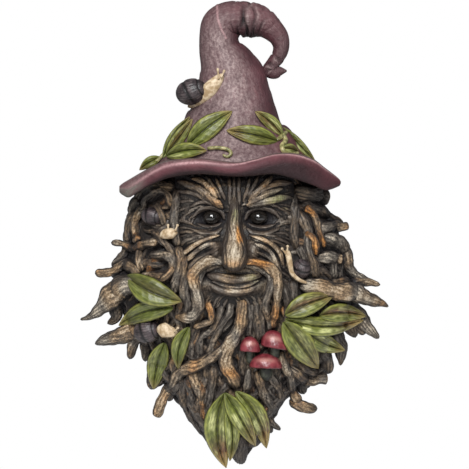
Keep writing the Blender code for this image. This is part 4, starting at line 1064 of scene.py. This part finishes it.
# Painted highlight: strongest down the front middle, lighter on the left side and on the fold ridges at the
# top, with a little painted shade on the right front.
down_middle = front_share**5 * (0.88 - 0.58 * upper) * (1 - 0.35 * rise(75 - up, 0, 30))
beside = 0.3 * bell(turn, 2.5, 0.45) * (1 - 0.5 * upper) - 0.15 * bell(turn, 0.7, 0.45)
hat = solid(
    np.stack([x, -np.maximum(depth, FORM_BACK), z], axis=-1),
    brush=np.clip(down_middle + beside + 0.12 - 0.1 * upper + 0.8 * puckers * upper, 0, 1),
    # Painted shade in the folds, under the bend and behind the curled tip.
    crease=np.clip(0.8 * crease + 0.78 * bend_shade + 0.25 * (at > 17.5) * (1 - front_share), 0, 1),
    # Painted highlight along the seam.
    lip=0.65 * seam,
    wine=0.15 + 0.25 * upper * (at < 17) + 0.2 * inside,
    grey=0.0,
    along=at * 9,
    round=turn * 14,
)
hat_piece = piece("hat", [hat], hat_felt)


# The keyhole that the plaque hangs from, moulded in the hat's flat back and cut out of its mesh: a round
# mouth, a slot up from it for the screw's neck, and a wider seat for the screw's head inside.

MOUTH_RADIUS, SLOT_RADIUS, SEAT_RADIUS = 5.5, 2.75, 5.45
MOUTH_UP, SLOT_UP, SEAT_LOW = 62, 72, 62.05
MOUTH_HALF_TURN = 2.6
BEHIND_BACK, KEYHOLE_DEPTH = -2.0, 9.0
SEAT_NEAR, SEAT_FAR = 3.0, 8.9


def arc(middle_up, radius, start, end, count):
    """Points on a circle over the plaque's middle line, as (across, up)."""
    return [(radius * math.cos(a), middle_up + radius * math.sin(a)) for a in np.linspace(start, end, count)]


def cut_out(obj, outline, near, far):
    """Cuts a prism with the given outline, as (across, up), out of the back between two depths."""
    count = len(outline)
    points = [(x / 1000, -depth / 1000, z / 1000) for depth in (near, far) for x, z in outline]
    walls = [(k, (k + 1) % count, (k + 1) % count + count, k + count) for k in range(count)]
    mesh = bpy.data.meshes.new("cutter")
    mesh.from_pydata(points, [], walls + [tuple(range(count))[::-1], tuple(range(count, 2 * count))])
    cutter = bpy.data.objects.new("cutter", mesh)
    bpy.context.scene.collection.objects.link(cutter)
    cut = obj.modifiers.new("cut", "BOOLEAN")
    cut.operation, cut.solver, cut.object = "DIFFERENCE", "EXACT", cutter
    obj.data = bpy.data.meshes.new_from_object(obj.evaluated_get(bpy.context.evaluated_depsgraph_get()))
    obj.modifiers.clear()
    bpy.data.objects.remove(cutter)


straight_down = -math.pi / 2
mouth_ends = straight_down - MOUTH_HALF_TURN, straight_down + MOUTH_HALF_TURN
mouth = arc(MOUTH_UP, MOUTH_RADIUS, *mouth_ends, 40)
slot = arc(SLOT_UP, SLOT_RADIUS, 0, math.pi, 20)
seat = arc(SLOT_UP, SEAT_RADIUS, 0, math.pi, 30) + arc(SEAT_LOW, SEAT_RADIUS, math.pi, 2 * math.pi, 30)
cut_out(hat_piece, mouth + slot, BEHIND_BACK, KEYHOLE_DEPTH)
cut_out(hat_piece, seat, SEAT_NEAR, SEAT_FAR)


# The brim: wide and wavy, with a thick rolled edge, redder than the cone. A pink line of painted highlight
# runs along the roll, lower on the left than on the right, with mauve above it that is partly a painted
# highlight on the upward faces, and painted shade under it.

# Each station: its place across, and the heights of its upper and its lower edge
BRIM_STATIONS = np.array(
    [
        (-73.6, 31.0, 27), (-71.5, 32.6, 25.2), (-67, 34.8, 23.6), (-60, 38.5, 27.5), (-50, 43.5, 32.5),
        (-40, 46.5, 36), (-22, 47.5, 38), (0, 45.2, 36.5), (12, 47, 37), (25, 50.4, 38),
        (38, 50.6, 35), (50, 47, 31), (58, 41.5, 28), (66, 35.8, 30.5), (67.6, 34.0, 32.2),
    ],
    float,
)
BRIM_RINGS = 260
BRIM_REACH, BRIM_SIDE_DEPTH, BRIM_BULGE = 75.0, 20, 49
ROLL_RADIUS, ROLL_BACK = 4.5, 5.4
ROLL_POINTS, FLAT_POINTS = 28, 14

across, top, bottom = smooth_route(BRIM_STATIONS, BRIM_RINGS).T[..., None]
reach = np.sqrt(np.clip(1 - (across / BRIM_REACH) ** 2, 0, 1))
front = BRIM_SIDE_DEPTH + BRIM_BULGE * reach
bend = np.linspace(1.75, -1.75, ROLL_POINTS)[None, :]
run = np.linspace(0, 1, FLAT_POINTS + 1)[None, 1:]
behind_roll = front - ROLL_BACK
roll_depth = front - ROLL_RADIUS + ROLL_RADIUS * np.cos(bend)
roll_up = (top + bottom) / 2 + (top - bottom) / 2 * np.sin(bend)
under_depth, above_depth = behind_roll * (1 - run) + run, (1 - run) + behind_roll * run
under_up, above_up = bottom + 0.4 + 3 * np.sin(run * 2), top - 0.1 + 3 * reach * np.sin((1 - run) * 1.57)
depth = np.concatenate([roll_depth, under_depth, above_depth[:, :-1]], axis=1)
up = np.concatenate([roll_up, under_up, above_up[:, :-1]], axis=1)
share = np.arange(up.shape[1])[None, :]
below_top = share < ROLL_POINTS + FLAT_POINTS
on_top = share > ROLL_POINTS + FLAT_POINTS + 1
lip_at = np.interp(across, [-62, -45, -6, 10, 30], [12.0, 9.6, 8.6, 4.6, 3.9])
lip = bell(share, lip_at, 1.5) * (0.8 + 0.2 * np.sin(across / 6)) * np.interp(across, [-66, -52], [0.3, 1])
above_lip = rise(lip_at - share, 0, 2.5)
shade_from = lip_at + 4.2 + 1.6 * np.sin(across / 11 + 1) - 2.5 * rise(across, 25, 50)
lower_face = rise(share - shade_from, 0, 7) * below_top
grey_end = rise(-across, 55, 65)
brim = solid(
    np.stack([across + 0 * up, -depth, up], axis=-1),
    # Painted highlight above the pink line and on the brim's top, and painted shade down its lower face.
    brush=np.clip(0.45 * above_lip + 0.10 * bell(share, lip_at + 2, 2) + 0.55 * on_top, 0, 1),
    crease=np.clip((0.86 - 0.3 * grey_end - 0.4 * rise(across, 44, 58)) * lower_face, 0, 1),
    lip=np.clip(lip, 0, 1),
    wine=share < 40,
    grey=0.95 * grey_end * np.clip((share - 9) / 5, 0.15, 1) * below_top,
    along=share * 3.0,
    round=across * 0.3,
)
piece("brim", [brim], hat_felt)


# Leaves: thick glossy leaves with a raised rim, a sunk midrib and side veins, olive green brushed with light
# green, brown down the middle or at the tip, and straw yellow on the rims and the tips, with a painted sheen
# along each half, painted shade over the less lit leaves, and painted shade in the grooves and at the edge.

LEAF_GRAIN = 0.8
LEAF_ACROSS = 31
VEIN_GAP = 5.0

leaf_green, wires = new_material("leaf_paint", 0.40, Coat_Weight=0.3, Coat_Roughness=0.3)
patch = wires.noise(110.0)
lengthwise = wires.vector(wires.times(wires.field("across"), 5.0), wires.times(wires.field("along"), 0.09))
streaks = wires.noise(1.5, 4.0, 0.6, lengthwise)
green = wires.mix(wires.ramp(patch, 0.3, 0.7), (0.050, 0.069, 0.010), (0.165, 0.213, 0.030))
olive = wires.mix(wires.ramp(streaks, 0.35, 0.65), (0.050, 0.056, 0.010), (0.25, 0.27, 0.06))
green = wires.mix(0.5, green, olive)
brown = wires.mix(wires.ramp(streaks, 0.4, 0.65), (0.070, 0.026, 0.012), (0.27, 0.125, 0.060))
green = wires.mix(wires.times(wires.field("brown"), wires.ramp(patch, 0.1, 0.4)), green, brown)
crest = wires.times(wires.ramp(wires.field("relief"), 0.35, 0.95), wires.ramp(streaks, 0.3, 0.6, 0.25, 0.8))
green = wires.mix(crest, green, (0.36, 0.40, 0.07))
straw = wires.times(wires.field("straw"), wires.ramp(streaks, 0.25, 0.6, 0.35, 0.9))
green = wires.mix(straw, green, (0.52, 0.41, 0.16))
cloudy = wires.ramp(wires.noise(70.0, 2.0), 0.44, 0.62, 0.05, 1.0)
# Painted sheen: pale highlight streaks along each half of the leaf.
sheen = wires.times(wires.field("sheen"), cloudy, wires.ramp(streaks, 0.38, 0.6, 0.2, 1.0))
green = wires.mix(sheen, green, (0.68, 0.70, 0.30))
# Painted shade: dark green over the less lit leaves, more on one half.
green = wires.mix(wires.field("dull"), green, (0.024, 0.028, 0.006))
# Painted shade: near black in the midrib, the vein grooves and along the edge.
wires.paint(wires.mix(wires.field("groove"), green, (0.014, 0.016, 0.004)))
wires.bump(wires.math("ADD", streaks, wires.field("relief")), 0.0004)


def hat_depth(across, up):
    """How far the front of the hat's cone stands off the wall: an ellipse across it."""
    cone = HAT_STATIONS[:10]
    middle, half, thick, core = (np.interp(up, cone[:, 1], cone[:, k]) for k in (0, 2, 3, 4))
    return core + thick * np.sqrt(np.clip(1 - ((across - middle) / half) ** 2, 0.04, 1))


def leaf(base, tip, half_width, bow, lift, brown_middle, brown_tip, gloss, over=ground_depth):
    """A leaf over a surface: its half width is the root of a skewed sine of the share along it, each
    half is bellied, the rim stands up, and the veins are sines that slant forward from the midrib."""
    base, tip = np.array(base, float), np.array(tip, float)
    length = np.linalg.norm(tip - base)
    along = np.linspace(0, 1, max(30, int(length / LEAF_GRAIN)))[:, None]
    ahead = (tip - base) / length
    side = np.array([-ahead[1], ahead[0]])
    middle = base + (tip - base) * along + side * bow * 4 * along * (1 - along)
    spread = half_width * np.sin(math.pi * np.clip(along, 0.004, 0.996) ** 0.85) ** 0.75
    share = np.linspace(-1, 1, LEAF_ACROSS)[None, :]
    size = np.abs(share)
    veins = np.sin(2 * math.pi * (along * length / VEIN_GAP - size * 1.1))
    rim, rib = bell(size, 0.86, 0.12), bell(share, 0, 0.07)
    folds = np.cos(2 * math.pi * (1.7 * size + 0.08 * np.sin(along * 9)))
    belly = 1.9 * (1 - (2 * size - 1) ** 2) + 0.5 * rim - rib + 0.07 * veins * (1 - rim) + 0.2 * folds
    arch = lift * (1 - 0.3 * along**2) + 2.5 * np.sin(math.pi * along)
    thin = np.minimum(1, spread / 3)
    depth = over(middle[:, 0], middle[:, 1])[:, None] + arch + belly * thin
    flat = middle[:, None, :] + (spread * share)[..., None] * side
    top = np.stack([flat[..., 0], -depth, flat[..., 1]], axis=-1)
    under = top[:, -2:0:-1].copy()
    under[..., 1] += 0.5 + 1.9 * thin * np.sqrt(1 - size[:, -2:0:-1] ** 4)

    def wrap(field, rear=0.0):
        """A field on top with a plain value underneath."""
        return np.concatenate([np.broadcast_to(field, depth.shape), np.full(under.shape[:2], rear)], axis=1)

    centre = bell(share, 0.2, 0.42) * np.sin(math.pi * along) ** 0.5
    brown = np.maximum(brown_middle * centre, brown_tip * rise(along + 0.12 * share, 0.52, 0.80))
    relief = 0.75 * rim + 0.25 * np.clip(veins, 0, 1) + 0.35 * np.clip(folds, 0, 1)
    # Painted shade in the midrib and vein grooves and along the edge.
    groove = 0.8 * rib + 0.15 * np.clip(-veins, 0, 1) * (1 - rim) + 0.7 * rise(size, 0.93, 1.0)
    straw = rim * (0.1 + 0.4 * along**2) + 0.8 * rise(along, 0.78, 0.96)
    # Painted sheen, stronger on one half, and painted shade over the leaves that are less lit.
    sheen = gloss * bell(size, 0.42, 0.2) * bell(along, 0.45, 0.33) * (1 - 0.3 * np.sign(share))
    return solid(
        np.concatenate([top, under], axis=1),
        relief=wrap(np.clip(relief, 0, 1), 0.2),
        groove=wrap(np.clip(groove, 0, 1), 0.5),
        brown=wrap(np.clip(brown, 0, 1)),
        sheen=wrap(sheen),
        straw=wrap(np.clip(straw, 0, 1)),
        dull=wrap(max(0, 0.45 * (1 - gloss)) * (1 + 0.4 * np.sign(share)), 0.3),
        along=wrap(along * length),
        across=wrap(share),
    )


# Each leaf: its base and its tip, half its width, its bow, its height, how brown its middle and its tip
# are, and how lit it is: more painted sheen and less painted shade
BEARD_LEAVES = (
    ((-69, -26.5), (-33.5, -42.5), 8.8, -2.5, 11, 0.35, 0.0, 0.3),
    ((-39, -46.5), (-74.5, -58.5), 6.8, -3.3, 8, 0.0, 0.1, 0.5),
    ((-44.5, -69), (-52, -99.5), 6.8, -1.5, 7, 0.0, 0.1, 0.6),
    ((-29, -58.8), (-36, -86), 5.4, -2.8, 8.5, 0.0, 0.0, 0.6),
    ((54, -51.5), (84.5, -52.5), 6.2, 2.0, 10, 1.0, 0.4, 1.0),
    ((32, -54), (83, -55), 6.4, -4.2, 9.5, 0.2, 0.9, 1.4),
    ((32, -51), (62.8, -39), 7.2, 1.3, 12, 0.9, 0.5, 0.8),
    ((42, -58), (71, -74.5), 6.8, -2.5, 10, 0.25, 0.3, 2.2),
    ((31, -55.5), (53.8, -86.2), 9.0, 0.3, 11, 0.3, 0.5, 0.8),
    ((-6, -101), (-5.4, -150.0), 8.8, -5.4, 7, 0.1, 1.0, 1.3),
    ((1, -100), (20.6, -137.4), 7.2, 4.0, 8, 0.2, 1.0, 1.1),
    ((-4.5, -110), (-3, -145.5), 5.0, 2.4, 10, 0.1, 0.3, 1.3),
    ((-6, -101), (13.6, -136), 6.4, 0.5, 11.5, 0.0, 0.6, 1.2),
)
HAT_LEAVES = (
    ((-45.8, 49), (-28.4, 75.6), 3.7, 1.3, 1.4, 0.1, 0.0, 0.8),
    ((-43.5, 51), (-26.8, 74.0), 4.2, -0.3, 2.6, 0.7, 0.4, 1.0),
    ((-30, 56.5), (-1.5, 78.5), 7.4, 1.2, 1.8, 0.0, 0.1, 0.85),
    ((-43.5, 50), (-17.5, 53.2), 5.4, 1.8, 3.8, 0.0, 0.1, 1.0),
    ((-47, 49.4), (-61, 41.2), 3.5, -1.0, 2.6, 0.2, 0.4, 0.7),
    ((29.4, 69), (52.2, 46), 3.3, 0.4, 1.6, 0.0, 0.1, 0.9),
    ((31, 62.5), (13, 78.5), 4.6, -1.4, 2.6, 0.8, 0.5, 1.1),
    ((27.5, 59.5), (-5.2, 66.2), 6.2, -0.6, 1.8, 0.2, 0.6, 1.1),
    ((30, 54.5), (41.5, 52.2), 3.4, 1.2, 3.4, 0.6, 0.4, 0.9),
)
piece("beard_leaves", [leaf(*line) for line in BEARD_LEAVES], leaf_green)
piece("hat_leaves", [leaf(*line, over=hat_depth) for line in HAT_LEAVES], leaf_green)


# Stems: the stalks of the hat's leaves and one curled tendril, thin and round, cast on the cone and painted
# a lighter green. Each is a route as (across, up), its radius, and its height over the cone.

STEMS = (
    (((-17.5, 54.6), (-10.9, 55), (-4.6, 54.0), (-2.2, 51.4), (-4.4, 49.3), (-7.6, 50.6)), 1.15, 1.6),
    (((-56, 42.6), (-49, 47.6), (-45.2, 52.2)), 1.2, 4.6),
    (((30, 65), (32.5, 60), (30.4, 56.5), (31.4, 53), (36, 51.2), (41, 51.8)), 1.7, 3.2),
    (((33.5, 66), (30, 62.5), (27, 60)), 1.5, 2.6),
)

stem_green, wires = new_material("leaf_stems", 0.4, Coat_Weight=0.2)
tone = wires.ramp(wires.noise(300.0), 0.35, 0.7)
wires.paint(wires.mix(tone, (0.14, 0.14, 0.04), (0.52, 0.46, 0.22)))


SLUG_GRAIN, SLUG_AROUND = 0.5, 26


def slug(route, thickness, lift, over=ground_depth, squash=1.0):
    """A soft body: a smooth tube over a surface, as thick along it as the given radii, with a round end."""
    given = [route, np.full(len(route), lift), spread_over(thickness, len(route))]
    dense = smooth_route(np.column_stack(given), 80)
    depth = over(dense[:, 0], dense[:, 1]) + dense[:, 2]
    line, at = evenly(np.column_stack([dense[:, 0], -depth, dense[:, 1], dense[:, 3]]), SLUG_GRAIN)
    _, out, side = tube_frame(line[:, :3])
    radius = line[:, 3] * np.sqrt(np.clip(np.minimum(at, at[-1] - at) / line[:, 3].clip(0.5), 0.02, 1))
    return solid(tube_rings(line[:, :3], out, side, radius[:, None], full_turn(SLUG_AROUND), squash))


piece("hat_stems", [slug(route, (r, r, 0.7 * r), lift, hat_depth) for route, r, lift in STEMS], stem_green)


# Snails: dark ribbed shells, coiled in a widening spiral, and smooth cream bodies with two feelers. Three
# sit among the roots and a large one on the cone.

SHELL_RINGS, SHELL_AROUND = 90, 120
FEELER_RADII = np.array([0.8, 0.7, 0.62, 0.58, 0.55, 0.55, 0.55, 0.6, 0.8, 0.95, 0.8, 0.2])

shell_dark, wires = new_material("snail_shell", 0.42, Coat_Weight=0.12, Coat_Roughness=0.3)
ribs = wires.times(wires.field("relief"), wires.ramp(wires.noise(260.0), 0.35, 0.7), 0.7)
tone = wires.mix(wires.ramp(wires.noise(150.0), 0.4, 0.7), (0.016, 0.012, 0.014), (0.062, 0.045, 0.050))
tone = wires.mix(ribs, tone, (0.20, 0.155, 0.155))
wires.paint(wires.mix(wires.field("groove"), tone, (0.004, 0.003, 0.004)))
wires.bump(wires.noise(500.0), 0.0005)

snail_skin, wires = new_material("snail_body", 0.45)
tone = wires.ramp(wires.noise(350.0, 4.0), 0.35, 0.65)
wires.paint(wires.mix(tone, (0.38, 0.26, 0.14), (0.72, 0.58, 0.40)))
wires.bump(tone, 0.00015)


def shell(middle, radii, axis, start):
    """A snail shell: an egg shape round its axis, with a groove along a spiral that widens by the same
    share each turn from the crown, and ribs across the coil."""
    axis = np.array(axis, float) / np.linalg.norm(axis)
    first = np.cross(axis, (0.1, 0.2, 1.0))
    first /= np.linalg.norm(first)
    second = np.cross(axis, first)
    tilt = np.linspace(0.06, math.pi - 0.06, SHELL_RINGS)[:, None]
    turn = full_turn(SHELL_AROUND)
    coil = np.log(tilt / 2.0) / math.log(2.0) + (turn + start) / (2 * math.pi)
    groove = bell(coil, np.round(coil), 0.10) * rise(tilt, 0.1, 0.3) * (tilt < 2.4)
    ribs = np.abs(np.sin(13 * turn + 0.8 * np.sin(3 * tilt))) ** 0.8 * np.sin(tilt)
    bulge = 1 - 0.05 * groove + 0.02 * ribs
    rings = (
        np.array(middle)
        + radii[1] * (np.cos(tilt) * bulge)[..., None] * axis
        + radii[0] * (np.sin(tilt) * np.cos(turn) * bulge)[..., None] * first
        + radii[0] * (np.sin(tilt) * np.sin(turn) * bulge)[..., None] * second
    )
    return solid(rings, relief=ribs * (1 - groove), groove=groove)


def feeler(foot, end):
    """A thin feeler with a round tip."""
    steps = len(FEELER_RADII)
    line = np.linspace(np.array(foot, float), np.array(end, float), steps)
    _, out, side = tube_frame(line + np.linspace(0, 1e-3, steps)[:, None] * np.array([1, 0, 0]))
    return solid(tube_rings(line, out, side, FEELER_RADII[:, None], full_turn(12)))


def on_ground(x, z, lift, over=ground_depth):
    """The place that lies so far over a surface, as (across, depth, up)."""
    return (x, -float(over(np.array(x, float), np.array(z, float))) - lift, z)


shells = [
    shell(on_ground(-52.5, 11.6, 4.5), (5.6, 7.6), (0.9, -0.5, -0.25), 0.5),
    shell(on_ground(42.5, -22, 2.0), (6.0, 6.8), (0.5, -0.5, 0.9), 2.0),
    shell(on_ground(-55.6, -61.8, 8.5), (7.3, 9.2), (0.95, -0.4, 0.1), 1.0),
    shell((-27.4, -26.5, 91.3), (8.3, 10.4), (0.93, -0.28, 0.24), 1.4),
]
by_the_eye = ((46, -30.8), (40.8, -28.6), (36.6, -24.6), (35.3, -19), (34.2, -13.5), (33, -9.5))
up_the_hat = ((-30, 81.6), (-23, 86.2), (-16.5, 92), (-11.5, 97.5), (-7.2, 102.4))
bodies = [
    slug(((-47.5, -1.6), (-44, 0.2), (-40, 0.8), (-36.2, 1.2)), (1.6, 3.2, 3.4, 1.8), 9),
    slug(by_the_eye, (0.8, 1.3, 1.5, 2.0, 1.6), 8),
    slug(((-49.5, -60), (-46, -60.6), (-41.5, -61.8), (-36.2, -63.4)), (5.2, 5.2, 3.8, 2.6), 9.5, squash=0.7),
    slug(up_the_hat, (1.4, 3.8, 5.0, 3.8, 1.7), 1.0, hat_depth, squash=0.6),
]
feelers = [
    feeler(on_ground(-42, 2.0, 11), on_ground(-42.2, 6.8, 12.5)),
    feeler(on_ground(-37.5, 2.5, 11), on_ground(-35.8, 6.6, 12.5)),
    feeler(on_ground(32.5, -12, 9), on_ground(29.6, -8.3, 10.5)),
    feeler(on_ground(33.6, -11, 9), on_ground(33.6, -6.6, 10.5)),
    feeler(on_ground(-38, -61.5, 12), on_ground(-35.5, -58.8, 13)),
    feeler(on_ground(-10, 99, 3.0, hat_depth), on_ground(-10.8, 106.3, 4, hat_depth)),
    feeler(on_ground(-8.5, 100, 3.0, hat_depth), on_ground(-6.2, 105.0, 4, hat_depth)),
]
piece("snail_shells", shells, shell_dark)
piece("snail_bodies", bodies + feelers, snail_skin)


# Toadstools: three domed caps, pinkish red and lacquered, with a painted highlight across the front and
# painted shade underneath, on short dark stalks that grow out of the beard.
# A cap is a sweep turned round its stalk, hollowed a little underneath, and leans as it goes across.

# Each toadstool: its place across and up, the cap's radius and height, and how steeply it leans
TOADSTOOLS = (
    (9.9, -73.8, 6.5, 8.9, 0.05), (25.5, -71.4, 8.7, 10.3, 0.18), (20, -84.4, 10.5, 8.6, 0.04)
)
CAP_AROUND = 48

cap_red, wires = new_material("toadstool_cap", 0.35, Coat_Weight=0.25, Coat_Roughness=0.15)
bloom = wires.ramp(wires.noise(260.0), 0.3, 0.75)
red = wires.mix(bloom, (0.130, 0.014, 0.021), (0.265, 0.046, 0.057))
# Painted highlight: a pale band across the front of the cap.
red = wires.mix(wires.times(wires.field("crown"), 0.4), red, (0.85, 0.46, 0.38))
# Painted shade: near black under the cap.
wires.paint(wires.mix(wires.field("gills"), red, (0.02, 0.012, 0.010)))
wires.bump(bloom, 0.0003)

stalk_green, wires = new_material("toadstool_stalk", 0.5)
tone = wires.ramp(wires.noise(300.0), 0.35, 0.7)
wires.paint(wires.mix(tone, (0.012, 0.013, 0.010), (0.075, 0.080, 0.055)))

sweep = np.concatenate([np.linspace(math.pi / 2 - 0.04, -0.5, 34), np.linspace(-0.62, -1.3, 6)])[:, None]
dome = sweep > -0.51
outside = np.cos(sweep.clip(0)) ** 0.95 * (1 - 0.14 * sweep.clip(-0.5, 0) ** 2 * 4)
reach = np.where(dome, outside, np.interp(sweep, [-1.3, -0.62], [0.2, 0.8]))
height = np.where(dome, np.sin(sweep) * np.where(sweep > 0, 1.0, 0.22), -0.08)
turn = full_turn(CAP_AROUND)
# Painted highlight band across the front of each cap.
crown = bell(height, 0.52, 0.16) * np.clip(-np.sin(turn), 0, 1) ** 4
caps, stalks = [], []
for x, z, radius, tall, slope in TOADSTOOLS:
    middle = on_ground(x, z, 7)
    rightward = radius * reach * np.cos(turn)
    forward = 0.85 * radius * reach * np.sin(turn)
    upward = tall * height - slope * rightward
    rings = np.stack([middle[0] + rightward, middle[1] + forward, middle[2] + upward], axis=-1)
    caps.append(solid(rings, crown=crown, gills=sweep < -0.4))
    stalks.append(slug(((x, z + 3), (x, z - 3), (x + 0.5, z - 9)), (radius * 0.36, radius * 0.42), 5.0))
piece("toadstool_caps", caps, cap_red)
piece("toadstool_stalks", stalks, stalk_green)
